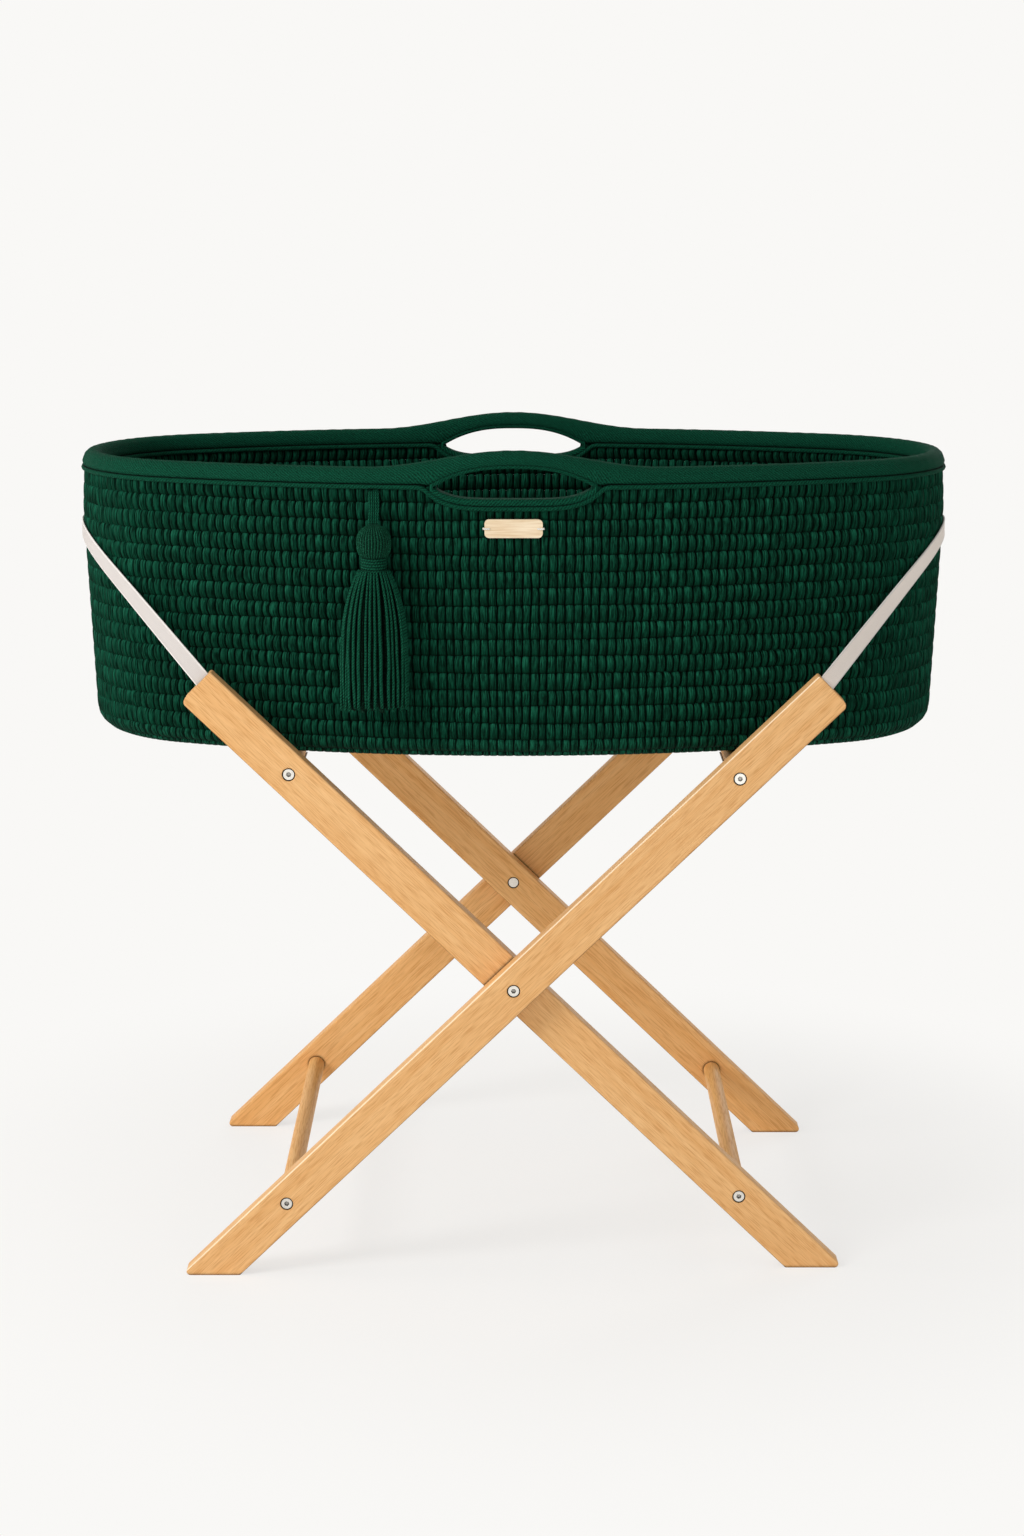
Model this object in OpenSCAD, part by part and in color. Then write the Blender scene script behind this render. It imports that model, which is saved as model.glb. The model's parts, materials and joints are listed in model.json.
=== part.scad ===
// Moses basket on its folding stand.
// Two beech frames cross at a pair of pivots, and a basket of coiled rope lies on their upper dowels.
// X runs along the basket, Y from front to rear and Z up from the floor.

/* [Rails] */
// Width of a rail, seen from the front
rail_w = 37; // [32:0.5:42]
// Thickness of a rail
rail_t = 18; // [16:0.5:21]
// Length from the pivot to the rail's square top end
rail_top_len = 384; // [365:1:405]
// Length from the pivot to the floor, along the rail's middle line
rail_foot_len = 377; // [360:1:400]
// Slope of an open rail above the floor, in degrees
rail_angle = 44.1; // [42:0.1:47]
// How far the basket's widest part overhangs the inner rails' inner faces
rail_tuck = 16.5; // [6:0.5:20]
// Radius of the lower corner at a rail's top end
top_corner_r = 6; // [3:0.5:8]
// Radius of the corner beside the webbing at a rail's top end
slot_corner_r = 2; // [1:0.25:3]
// Radius of the toe of a foot
toe_r = 3.5; // [2:0.5:8]
// Radius of a rail's long edges
edge_r = 1.5; // [0.5:0.25:3]

/* [Dowels] */
// Diameter of the dowels that join a front rail to a rear rail
dowel_d = 16; // [14:0.5:20]
// Distance of an upper dowel from the pivot
upper_dowel_reach = 273; // [255:1:290]
// Distance of a lower dowel from the pivot
lower_dowel_reach = 281; // [260:1:300]
// Depth of a dowel's seat in a rail
dowel_seat = 5; // [3:0.5:7]

/* [Bolts] */
// Diameter of the bolt heads
head_d = 9.6; // [9:0.2:11]
// Height of the bolt heads
head_h = 2.6; // [2:0.1:3.2]
// Diameter of the counterbore round a head
counterbore_d = 11.6; // [11.2:0.2:14]
// Depth of a counterbore
counterbore_h = 3.2; // [3:0.1:4.5]
// Size across the flats of the hexagon socket
socket_af = 4; // [3:0.5:5]
// Depth of the hexagon socket
socket_h = 1.6; // [1:0.1:1.9]
// Shank diameter of a frame bolt
bolt_d = 6; // [5:0.5:7]
// Hole for a frame bolt in a rail
bolt_hole_d = 6.6; // [6.2:0.1:8]
// Length of a frame bolt inside its dowel
bolt_grip = 13; // [10:0.5:16]
// Diameter of the threaded insert in a dowel's end
insert_d = 9; // [8.5:0.5:11]
// Length of the threaded insert
insert_len = 14; // [10:0.5:18]

/* [Pivots] */
// Barrel diameter of the sleeve nut that the inner rail turns on
sleeve_d = 8; // [7:0.5:10]
// Shank diameter of the pivot bolt
pivot_bolt_d = 5; // [4:0.5:6]
// Diameter of the washer between two crossing rails
washer_d = 24; // [18:1:32]
// Thickness of the washer
washer_t = 1; // [0.6:0.1:2]

/* [End straps] */
// Width of the webbing round a basket's end
strap_w = 15; // [12:0.5:18]
// Thickness of the webbing
strap_t = 1.5; // [1:0.1:2.2]
// Length of the webbing held in the slot of a rail
tongue_len = 30; // [22:1:40]
// Distance of the slot from the rail's middle line
slot_shift = 7.5; // [5:0.5:9]
// Height of the webbing's highest point above the basket's underside
strap_apex = 186; // [165:1:205]
// Shank diameter of the screw through the webbing
screw_d = 3.2; // [2.5:0.1:4]
// Head diameter of that screw
screw_head_d = 6.8; // [6:0.2:8]
// Length of that screw
screw_len = 14; // [12.5:0.5:15]

/* [Spreader straps] */
// Width of the webbing that ties the two upper dowels together
spreader_w = 40; // [25:1:60]
// Thickness of that webbing
spreader_t = 1.5; // [1:0.1:2.5]
// Distance between the two spreader straps, middle to middle
spreader_pitch = 200; // [140:5:240]

/* [Basket] */
// Length of the basket at its rim
basket_len = 796; // [775:1:820]
// Width of the basket at its rim
basket_w = 405; // [395:1:420]
// Radius of the basket's rounded ends at the rim
end_r = 150; // [135:1:165]
// Height of the wall away from the handles
wall_h = 255; // [240:1:270]
// Thickness of the rope wall
wall_t = 13; // [10:0.5:16]
// How far the wall leans outwards from foot to rim
wall_lean = 11; // [6:0.5:16]
// Outer radius where the wall turns into the base
foot_r = 22; // [18:0.5:30]

/* [Handles] */
// Extra height of the wall at a handle
hump_h = 15; // [10:0.5:20]
// Length of the swelling hump, end to end
hump_len = 262; // [240:2:300]
// Length of the hand hole
grip_len = 138; // [125:1:150]
// Height of the hand hole above its pointed ends
grip_rise = 16; // [14:0.5:19]
// Depth of the hand hole below its pointed ends
grip_drop = 10; // [8:0.5:14]
// Height of the wall left above the hand hole
grip_cover = 14; // [14:0.5:18]
// Thickness of the binding tape
tape_t = 1.6; // [1:0.1:2.4]
// Height of the tape along the rim
rim_tape_h = 17; // [14:0.5:22]
// Width of the tape round a hand hole
handle_tape_w = 6.5; // [5:0.25:7]

/* [Blank plate] */
// Width of the sewn-on plate
plate_w = 50; // [40:1:70]
// Height of the plate
plate_h = 16; // [12:0.5:22]
// Thickness of the plate
plate_t = 2.4; // [1.5:0.1:4]
// Corner radius of the plate
plate_r = 4; // [1:0.25:5]
// Distance from the rim down to the plate's middle
plate_drop = 50; // [46:1:70]
// Diameter of the sewing thread
thread_d = 1.6; // [1:0.1:2]
// Distance of a thread hole from the plate's end
stitch_inset = 4; // [3:0.25:6]

/* [Tassel] */
// Where the tassel hangs along the basket's front
tassel_x = -120; // [-160:1:-100]
// Diameter of the tassel's ball
ball_d = 31; // [26:0.5:34]
// Diameter of the loop's two strands
loop_d = 4; // [3:0.25:5]
// Length of the loop from the binding to the ball
loop_len = 26; // [20:1:40]
// Diameter of the neck band
neck_d = 23; // [18:0.5:26]
// Height of the neck band
neck_h = 9; // [6:0.5:12]
// Length of the skirt
skirt_len = 128; // [100:1:145]
// Width of the skirt at its top
skirt_top_w = 27; // [22:0.5:34]
// Width of the skirt at its hem
skirt_hem_w = 60; // [48:1:72]
// Depth of the skirt at its hem
skirt_hem_depth = 27; // [22:0.5:30]
// Number of flutes round the skirt
flutes = 26; // [16:1:32]

/* [Hidden] */
// Rounds
$fn = 96;

// Clearances
seam = 0.05;
seat_gap = 0.3;
slot_gap = 0.3;
turn_gap = 0.08;
rail_gap = washer_t + 2 * turn_gap;

// Sizes past every edge, for cuts that go right through
far = 2000;
past = 1;

// Stand, worked out
pivot_z = rail_foot_len * sin(rail_angle);
inner_face_y = basket_w / 2 - rail_tuck;
outer_face_y = inner_face_y + rail_t + rail_gap;
front_y = outer_face_y + rail_t;
bar_len = rail_foot_len + rail_top_len + 2 * rail_w;
upper_dowel_z = pivot_z + upper_dowel_reach * sin(rail_angle);
upper_dowel_x = upper_dowel_reach * cos(rail_angle);

// Basket, worked out
basket_z = upper_dowel_z + dowel_d / 2 + seat_gap + spreader_t + seat_gap;
end_c = basket_len / 2 - end_r;
side_r = (end_c * end_c + basket_w * basket_w / 4 - end_r * end_r) / (basket_w - 2 * end_r);
side_c = side_r - basket_w / 2;
join_angle = atan2(end_c, side_c);
lean_slope = wall_lean / (wall_h - foot_r);
lean_angle = atan(lean_slope);
crown_h = wall_h + hump_h;
grip_z = crown_h - grip_cover - grip_rise;
hem_z = wall_h - rim_tape_h;
end_steps = 24;
side_steps = 32;
foot_step = 15;
crown_step = 30;

// Tassel, worked out
loop_top_z = hem_z - loop_d / 2 - seat_gap;
ball_z = loop_top_z - loop_len - ball_d / 2;
neck_z = ball_z - sqrt(ball_d * ball_d - neck_d * neck_d) / 2 - neck_h;
loop_y = -wall_y(tassel_x + loop_d, loop_top_z) - seat_gap - loop_d / 2;
hang_y = -wall_y(tassel_x, ball_z) - seat_gap - ball_d / 2;
skirt_rings = 7;
flute_points = 3;
flute_depth = 0.05;

// Colours
beech = "#E1AF6E";
rope_green = "#0C4A36";
tape_green = "#0A3F2E";
webbing = "#E4DDD4";
steel = "#B9BBBE";
brass = "#C6A15B";
nylon = "#ECEAE4";
plate_wood = "#D8BC92";
thread = "#CDB48C";

FRAMES = ["outer", "inner"];
LEVELS = ["upper", "lower"];
SIDES = ["front", "rear"];

// Inner face of a frame's rear rail
function face_y(frame) = frame == "outer" ? outer_face_y : inner_face_y;

// Place of a dowel along its rail
function reach(level) = level == "upper" ? upper_dowel_reach : -lower_dowel_reach;

// Offset of the wall's outer face from the rim oval, at a height above the basket's underside
function lean_at(z) = lean_slope * (z - wall_h);

// Half width of the basket's outer face along its long sides
function wall_y(x, z) = sqrt(pow(side_r + lean_at(z), 2) - x * x) - side_c;

// Rise of the rim above the wall's plain height
function rim_rise(x) = abs(x) < hump_len / 2 ? hump_h * (1 + cos(360 * x / hump_len)) / 2 : 0;

// Radius of an arc over a chord, from its height
function arc_r(chord, height) = (chord * chord / 4 + height * height) / (2 * height);

function unit(v) = v / norm(v);

// General shapes

module in_frame(frame) {
    if (frame == "inner") mirror([1, 0, 0]) children();
    else children();
}

module on_side(side) {
    if (side == "front") mirror([0, 1, 0]) children();
    else children();
}

// Rail frame: X along the rail from the pivot, Z across its width
module lean() {
    translate([0, 0, pivot_z]) rotate([0, -rail_angle, 0]) children();
}

// Round bar along +Y
module rod(y, len, d) {
    translate([0, y, 0]) rotate([-90, 0, 0]) cylinder(d = d, h = len);
}

// An XZ outline drawn through in Y
module through_y(y, len) {
    translate([0, y + len, 0]) rotate([90, 0, 0]) linear_extrude(len) children();
}

module rounded_2d(w, h, r) {
    square([w - 2 * r, h], center = true);
    square([w, h - 2 * r], center = true);
    for (x = [-1, 1], y = [-1, 1])
        translate([x * (w / 2 - r), y * (h / 2 - r)]) circle(r);
}

// A closed skin over rings of points that all have the same count
module ring_skin(rings) {
    n = len(rings[0]);
    last = len(rings) - 1;
    sides = [
        for (k = [0:last - 1], i = [0:n - 1])
            let (a = k * n + i, b = k * n + (i + 1) % n)
            each [[a, a + n, b], [b, a + n, b + n]]
    ];
    caps = [
        for (i = [1:n - 2])
            each [[0, i, i + 1], [last * n, last * n + i + 1, last * n + i]]
    ];
    polyhedron([for (r = rings) each r], concat(sides, caps));
}

// Rails

// Outline of a rail with a square top end and a foot cut level with the floor
module rail_outline() {
    difference() {
        intersection() {
            union() {
                translate([rail_top_len - bar_len, -rail_w / 2])
                    square([bar_len - top_corner_r, rail_w]);
                translate([0, top_corner_r - rail_w / 2])
                    square([rail_top_len, rail_w - top_corner_r - slot_corner_r]);
                square([rail_top_len - slot_corner_r, rail_w / 2]);
                translate([rail_top_len - top_corner_r, top_corner_r - rail_w / 2])
                    circle(top_corner_r);
                translate([rail_top_len - slot_corner_r, rail_w / 2 - slot_corner_r])
                    circle(slot_corner_r);
            }
            rotate(-rail_angle) translate([-far, -pivot_z]) square(2 * far);
        }
        toe_cut();
    }
}

// What rounding takes off the pointed toe
module toe_cut() {
    corner = [-(pivot_z + rail_w / 2 * cos(rail_angle)) / sin(rail_angle), rail_w / 2];
    edge = toe_r / tan(rail_angle / 2);
    middle = corner + [edge, -toe_r];
    difference() {
        polygon([corner, middle + [0, toe_r], middle, corner + edge * [cos(rail_angle), -sin(rail_angle)]]);
        translate(middle) circle(toe_r);
    }
}

module rail_blank(y) {
    lean() intersection() {
        through_y(y, rail_t) rail_outline();
        translate([rail_top_len - bar_len, y + rail_t / 2, 0])
            rotate([0, 90, 0]) linear_extrude(bar_len) rounded_2d(rail_w, rail_t, edge_r);
    }
}

module rail(frame, side) {
    y = face_y(frame);
    pivot_bore_y = frame == "outer" ? y + rail_t - counterbore_h : y - past;
    color(beech) in_frame(frame) on_side(side) difference() {
        rail_blank(y);
        lean() {
            rod(y - past, rail_t + 2 * past, sleeve_d + 2 * turn_gap);
            rod(pivot_bore_y, counterbore_h + past, counterbore_d);
            for (l = LEVELS) translate([reach(l), 0, 0]) {
                rod(y - past, dowel_seat + past, dowel_d + 2 * seam);
                rod(y, rail_t, bolt_hole_d);
                rod(y + rail_t - counterbore_h, counterbore_h + past, counterbore_d);
            }
            translate([rail_top_len - tongue_len, y + rail_t / 2 - strap_t / 2 - slot_gap, slot_shift])
                translate([-slot_gap, 0, -strap_w / 2 - slot_gap])
                    cube([tongue_len + slot_gap + past, strap_t + 2 * slot_gap, strap_w + 2 * slot_gap]);
            strap_screw_shape(y, seam);
        }
    }
}

// Dowels, frame bolts and threaded inserts

function dowel_end(frame) = face_y(frame) + dowel_seat - seam;

module dowel(frame, level) {
    end = dowel_end(frame);
    color(beech) in_frame(frame) lean() translate([reach(level), 0, 0]) difference() {
        rod(-end, 2 * end, dowel_d);
        for (s = SIDES) on_side(s)
            rod(end - insert_len - seam, insert_len + seam + past, insert_d + 2 * seam);
    }
}

module insert(frame, level, side) {
    end = dowel_end(frame);
    color(brass) in_frame(frame) on_side(side) lean() translate([reach(level), 0, 0]) difference() {
        rod(end - insert_len, insert_len, insert_d);
        rod(end - insert_len - past, insert_len + 2 * past, bolt_d + 2 * seam);
    }
}

// A socket head with its seat at y, facing +Y
module socket_head(y) {
    difference() {
        rod(y, head_h, head_d);
        translate([0, y + head_h - socket_h, 0]) rotate([-90, 0, 0])
            cylinder(d = socket_af / cos(30), h = socket_h + past, $fn = 6);
    }
}

module frame_bolt(frame, level, side) {
    seat = face_y(frame) + rail_t - counterbore_h;
    tip = dowel_end(frame) - bolt_grip;
    color(steel) in_frame(frame) on_side(side) lean() translate([reach(level), 0, 0]) {
        socket_head(seat);
        rod(tip, seat - tip, bolt_d);
    }
}

// Pivots

sleeve_start = inner_face_y + counterbore_h - turn_gap;
sleeve_end = front_y - counterbore_h - turn_gap;

module pivot_bolt(side) {
    seat = front_y - counterbore_h;
    color(steel) on_side(side) translate([0, 0, pivot_z]) {
        socket_head(seat);
        rod(sleeve_start, seat - sleeve_start, pivot_bolt_d);
    }
}

// Sleeve nut with a flat head on the inner rail's inner face
module pivot_nut(side) {
    color(steel) on_side(side) translate([0, 0, pivot_z]) difference() {
        union() {
            rod(sleeve_start - head_h, head_h, head_d);
            rod(sleeve_start, sleeve_end - sleeve_start, sleeve_d);
        }
        rod(sleeve_start - seam, sleeve_end - sleeve_start + past, pivot_bolt_d + 2 * seam);
    }
}

module pivot_washer(side) {
    color(nylon) on_side(side) translate([0, 0, pivot_z]) difference() {
        rod(outer_face_y - turn_gap - washer_t, washer_t, washer_d);
        rod(inner_face_y, rail_gap + 2 * rail_t, sleeve_d + 2 * turn_gap);
    }
}

// End straps

strap_offset = lean_at(strap_apex + strap_w / 2) + seat_gap + strap_t / 2;
strap_r = end_r + strap_offset;
strap_run_steps = 5;
strap_arc_steps = 8;

// Stations of the rear half of a strap, each as place, direction and outward normal.
// The webbing leaves its slot along the rail, runs straight to the basket's end and climbs round it.
function strap_half(y) = let (
    along = [cos(rail_angle), 0, sin(rail_angle)],
    across = [-sin(rail_angle), 0, cos(rail_angle)],
    leave = [0, y, pivot_z] + rail_top_len * along + slot_shift * across,
    to_leave = [leave.x - end_c, leave.y],
    leave_angle = atan2(to_leave.y, to_leave.x),
    touch_angle = leave_angle - acos(strap_r / norm(to_leave)),
    touch = [end_c + strap_r * cos(touch_angle), strap_r * sin(touch_angle)],
    run = norm([touch.x - leave.x, touch.y - leave.y]),
    arc = strap_r * touch_angle * PI / 180,
    slope = (basket_z + strap_apex - leave.z) / (run + arc / 2),
    heading = [touch.x - leave.x, touch.y - leave.y, slope * run]
) concat(
    [[leave - tongue_len * along, along, [0, 1, 0]]],
    [[leave, along, [0, 1, 0]]],
    [for (i = [1:strap_run_steps]) let (
        s = i / strap_run_steps,
        a = 90 + (touch_angle - 90) * s
    ) [leave + s * heading, unit(heading), [cos(a), sin(a), 0]]],
    [for (i = [1:strap_arc_steps]) let (
        s = i / strap_arc_steps,
        a = touch_angle * (1 - s),
        z = leave.z + slope * run + slope * arc * s * (1 - s / 2)
    ) [
        [end_c + strap_r * cos(a), strap_r * sin(a), z],
        unit([sin(a), -cos(a), slope * (1 - s)]),
        [cos(a), sin(a), 0]
    ]]
);

// Corners of the webbing at one station
function strap_ring(station) = let (
    w = unit(cross(station[1], station[2])) * strap_w / 2,
    n = unit(cross(w, station[1])) * strap_t / 2
) [station[0] + w + n, station[0] - w + n, station[0] - w - n, station[0] + w - n];

function flip_y(ring) = [for (p = ring) [p.x, -p.y, p.z]];

// The front half runs back from the highest point as the mirror image of the rear half
function strap_rings(half) = let (rear = [for (s = half) strap_ring(s)]) concat(
    rear,
    [for (i = [len(rear) - 2:-1:0]) flip_y(rear[i])]
);

module end_strap(frame) {
    y = face_y(frame);
    color(webbing) in_frame(frame) difference() {
        ring_skin(strap_rings(strap_half(y + rail_t / 2)));
        for (s = SIDES) on_side(s) lean() strap_screw_shape(y, seam);
    }
}

// Countersunk screw driven from the rail's inner face, with room round it for its hole
module strap_screw_shape(y, room) {
    sunk = (screw_head_d - screw_d) / 2;
    translate([rail_top_len - tongue_len / 2, y, slot_shift]) {
        rod(0, screw_len + room, screw_d + 2 * room);
        rotate([-90, 0, 0]) cylinder(d1 = screw_head_d + 2 * room, d2 = screw_d + 2 * room, h = sunk);
    }
}

module strap_screw(frame, side) {
    color(steel) in_frame(frame) on_side(side) lean() strap_screw_shape(face_y(frame), 0);
}

// Spreader straps

module spreader_strap(side) {
    loop_r = dowel_d / 2 + seat_gap;
    color(webbing) on_side(side)
        through_y(spreader_pitch / 2 - spreader_w / 2, spreader_w) translate([0, upper_dowel_z]) difference() {
            union() {
                for (s = [-1, 1]) translate([s * upper_dowel_x, 0]) circle(loop_r + spreader_t);
                translate([-upper_dowel_x, loop_r]) square([2 * upper_dowel_x, spreader_t]);
            }
            for (s = [-1, 1]) translate([s * upper_dowel_x, 0]) circle(loop_r);
        }
}

// Basket

module in_basket() {
    translate([0, 0, basket_z]) children();
}

// Stations round the rim oval, each as the middle and radius of its arc and the outward angle
oval_stations = let (end_half = 90 - join_angle) concat(
    [for (i = [0:end_steps - 1]) [[end_c, 0], end_r, end_half * (2 * i / end_steps - 1)]],
    [for (i = [0:side_steps - 1]) [[0, -side_c], side_r, 90 + join_angle * (2 * i / side_steps - 1)]],
    [for (i = [0:end_steps - 1]) [[-end_c, 0], end_r, 180 + end_half * (2 * i / end_steps - 1)]],
    [for (i = [0:side_steps - 1]) [[0, side_c], side_r, 270 + join_angle * (2 * i / side_steps - 1)]]
);

// A point at a station, so far outside the rim oval and so high
function oval_point(station, out, z) = let (
    plan = station[0] + (station[1] + out) * [cos(station[2]), sin(station[2])]
) [plan.x, plan.y, z];

// Round top of the wall's section at a station, from the outer face to the inner, grown outwards
function crown(station, grow) = let (
    r = wall_t / 2,
    z = wall_h + rim_rise(oval_point(station, 0, 0).x) - r
) [for (a = [0:crown_step:180]) [lean_at(z) - r + (r + grow) * cos(a), z + (r + grow) * sin(a)]];

function reversed(list) = [for (i = [len(list) - 1:-1:0]) list[i]];

// Section of the wall: the outer round of its foot, the rim, and the inner round
function wall_ring(station) = let (
    section = concat(
        [for (a = [-90:foot_step:0]) [-wall_lean - foot_r + foot_r * cos(a), foot_r * (1 + sin(a))]],
        crown(station, 0),
        [for (a = [0:-foot_step:-90]) let (r = foot_r - wall_t)
            [-wall_lean - foot_r + r * cos(a), foot_r + r * sin(a)]]
    )
) [for (p = section) oval_point(station, p.x, p.y)];

// Section of the tape folded over the rim, with its hem level all round
function tape_ring(station) = let (
    outer = lean_at(hem_z),
    inner = outer - wall_t,
    section = concat(
        [[outer + seam, hem_z], [outer + tape_t, hem_z]],
        crown(station, tape_t),
        [[inner - tape_t, hem_z], [inner - seam, hem_z]],
        reversed(crown(station, seam))
    )
) [for (p = section) oval_point(station, p.x, p.y)];

// A skin over rings that run round in a closed loop
module loop_skin(rings) {
    n = len(rings[0]);
    m = len(rings);
    faces = [
        for (k = [0:m - 1], i = [0:n - 1]) let (
            a = k * n + i,
            b = k * n + (i + 1) % n,
            c = (k + 1) % m * n + i,
            d = (k + 1) % m * n + (i + 1) % n
        ) each [[a, b, c], [b, d, c]]
    ];
    polyhedron([for (r = rings) each r], faces);
}

// The filled oval, grown outwards by a distance
module oval_2d(grow) {
    polygon([for (s = oval_stations) let (p = oval_point(s, grow, 0)) [p.x, p.y]]);
}

// Lens of two arcs round a hand hole, grown outwards
module grip_2d(grow) {
    upper_r = arc_r(grip_len, grip_rise);
    lower_r = arc_r(grip_len, grip_drop);
    translate([0, grip_z]) intersection() {
        translate([0, grip_rise - upper_r]) circle(upper_r + grow);
        translate([0, lower_r - grip_drop]) circle(lower_r + grow);
    }
}

module grip_hole(grow) {
    through_y(-basket_w, 2 * basket_w) grip_2d(grow);
}

module basket_wall() {
    color(rope_green) in_basket() difference() {
        loop_skin([for (s = oval_stations) wall_ring(s)]);
        grip_hole(tape_t);
    }
}

module basket_base() {
    color(rope_green) in_basket() linear_extrude(wall_t) oval_2d(-wall_lean - foot_r - seat_gap);
}

// Tape folded over the top of the wall, cut away where the tape of a hand hole lies
module rim_binding() {
    color(tape_green) in_basket() difference() {
        loop_skin([for (s = oval_stations) tape_ring(s)]);
        grip_hole(handle_tape_w + seat_gap);
    }
}

// A stretch of the leaning wall along one long side, grown on both faces
module side_band(low, high, grow) {
    translate([0, -side_c, 0]) rotate(90 - join_angle) rotate_extrude(angle = 2 * join_angle)
        translate([side_r, 0]) polygon([
            [lean_at(low) + grow, low],
            [lean_at(high) + grow, high],
            [lean_at(high) - wall_t - grow, high],
            [lean_at(low) - wall_t - grow, low]
        ]);
}

// Tape folded over the edge of a hand hole
module handle_binding(side) {
    low = grip_z - grip_drop - 2 * handle_tape_w;
    color(tape_green) in_basket() on_side(side) difference() {
        intersection() {
            side_band(low, crown_h, tape_t);
            grip_hole(handle_tape_w);
        }
        difference() {
            side_band(low - past, crown_h + past, 2 * seam);
            grip_hole(tape_t - seam);
        }
        grip_hole(0);
    }
}

// Blank plate

// Frame on the front of the wall: X along the basket, Y up the wall, Z out of it
module on_front() {
    z = wall_h - plate_drop;
    in_basket() translate([0, -wall_y(0, z), z]) rotate([90 + lean_angle, 0, 0]) children();
}

stitch_x = plate_w / 2 - stitch_inset;

module blank_plate() {
    color(plate_wood) on_front() translate([0, 0, seat_gap]) linear_extrude(plate_t) difference() {
        rounded_2d(plate_w, plate_h, plate_r);
        for (s = [-1, 1]) translate([s * stitch_x, 0]) circle(d = thread_d + 2 * seam);
    }
}

// One stitch: a leg through the plate, a bar out over its end, and a leg beside the end
module plate_stitch(end) {
    bar_z = seat_gap + plate_t + thread_d / 2 + seam;
    out_x = plate_w / 2 + seam + thread_d / 2;
    color(thread) on_front() {
        for (x = [stitch_x, out_x]) translate([end * x, 0, seam]) {
            cylinder(d = thread_d, h = bar_z - seam);
            translate([0, 0, bar_z - seam]) sphere(d = thread_d);
        }
        translate([end * stitch_x, 0, bar_z]) rotate([0, end * 90, 0])
            cylinder(d = thread_d, h = out_x - stitch_x);
    }
}

// Tassel

module at_tassel() {
    in_basket() translate([tassel_x, hang_y, 0]) children();
}

// Round bar along +X
module bar_x(x, len, d) {
    translate([x, 0, 0]) rotate([0, 90, 0]) cylinder(d = d, h = len);
}

// The stitch that the loop hangs and swings on: a bar under the hem and a leg to the wall at each end
module tassel_stitch() {
    half = loop_d + seat_gap + thread_d / 2;
    color(tape_green) in_basket() translate([tassel_x, loop_y, loop_top_z]) {
        bar_x(-half, 2 * half, thread_d);
        for (s = [-1, 1]) translate([s * half, 0, 0]) {
            sphere(d = thread_d);
            rod(0, -loop_y - wall_y(tassel_x + s * half, loop_top_z) - seat_gap, thread_d);
        }
    }
}

// Two strands that hang from the stitch to the ball
module tassel_loop() {
    lead = [0, hang_y - loop_y, ball_z - loop_top_z];
    tilt = atan2(lead.y, -lead.z);
    color(tape_green) difference() {
        in_basket() translate([tassel_x, loop_y, loop_top_z]) difference() {
            for (s = [-1, 1]) translate([s * (loop_d / 2 + seam), 0, 0]) {
                sphere(d = loop_d);
                rotate([tilt, 0, 0]) translate([0, 0, -norm(lead)]) cylinder(d = loop_d, h = norm(lead));
            }
            bar_x(-2 * loop_d, 4 * loop_d, thread_d + 2 * turn_gap);
        }
        at_tassel() translate([0, 0, ball_z]) sphere(d = ball_d + 2 * seam);
    }
}

module tassel_ball() {
    color(rope_green) at_tassel() translate([0, 0, ball_z]) sphere(d = ball_d);
}

// Wound band under the ball, with its top hollowed to the ball
module tassel_neck() {
    wraps = 4;
    wrap_h = neck_h / wraps;
    color(tape_green) at_tassel() difference() {
        translate([0, 0, neck_z]) {
            cylinder(d = neck_d - wrap_h, h = neck_h);
            for (i = [0:wraps - 1]) translate([0, 0, (i + 0.5) * wrap_h])
                rotate_extrude() translate([neck_d / 2 - wrap_h / 2, 0]) circle(d = wrap_h);
        }
        translate([0, 0, ball_z]) sphere(d = ball_d + 2 * seam);
    }
}

// Outline of the fluted skirt at a share of its length from the neck down
function skirt_ring(share) = let (
    spread = pow(share, 0.6),
    half_w = (skirt_top_w + (skirt_hem_w - skirt_top_w) * spread) / 2,
    half_d = (neck_d + (skirt_hem_depth - neck_d) * spread) / 2,
    count = flutes * flute_points
) [
    for (i = [0:count - 1]) let (
        a = 360 * i / count,
        r = 1 - flute_depth * share * (1 - cos(flutes * a)) / 2
    ) [half_w * r * cos(a), half_d * r * sin(a), neck_z - seam - skirt_len * share]
];

module tassel_skirt() {
    color(rope_green) at_tassel()
        ring_skin([for (k = [0:skirt_rings - 1]) skirt_ring(k / (skirt_rings - 1))]);
}

// Assembly

for (f = FRAMES) {
    for (s = SIDES) {
        rail(f, s);
        strap_screw(f, s);
    }
    for (l = LEVELS) {
        dowel(f, l);
        for (s = SIDES) {
            frame_bolt(f, l, s);
            insert(f, l, s);
        }
    }
    end_strap(f);
}
for (s = SIDES) {
    pivot_bolt(s);
    pivot_nut(s);
    pivot_washer(s);
    spreader_strap(s);
    handle_binding(s);
}
basket_wall();
basket_base();
rim_binding();
blank_plate();
plate_stitch(-1);  // plate_stitch_left
plate_stitch(1);  // plate_stitch_right
tassel_stitch();
tassel_loop();
tassel_ball();
tassel_neck();
tassel_skirt();
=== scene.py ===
"""A moses basket of stitched rope on its folding beech stand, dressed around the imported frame."""
import json
import math

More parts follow.
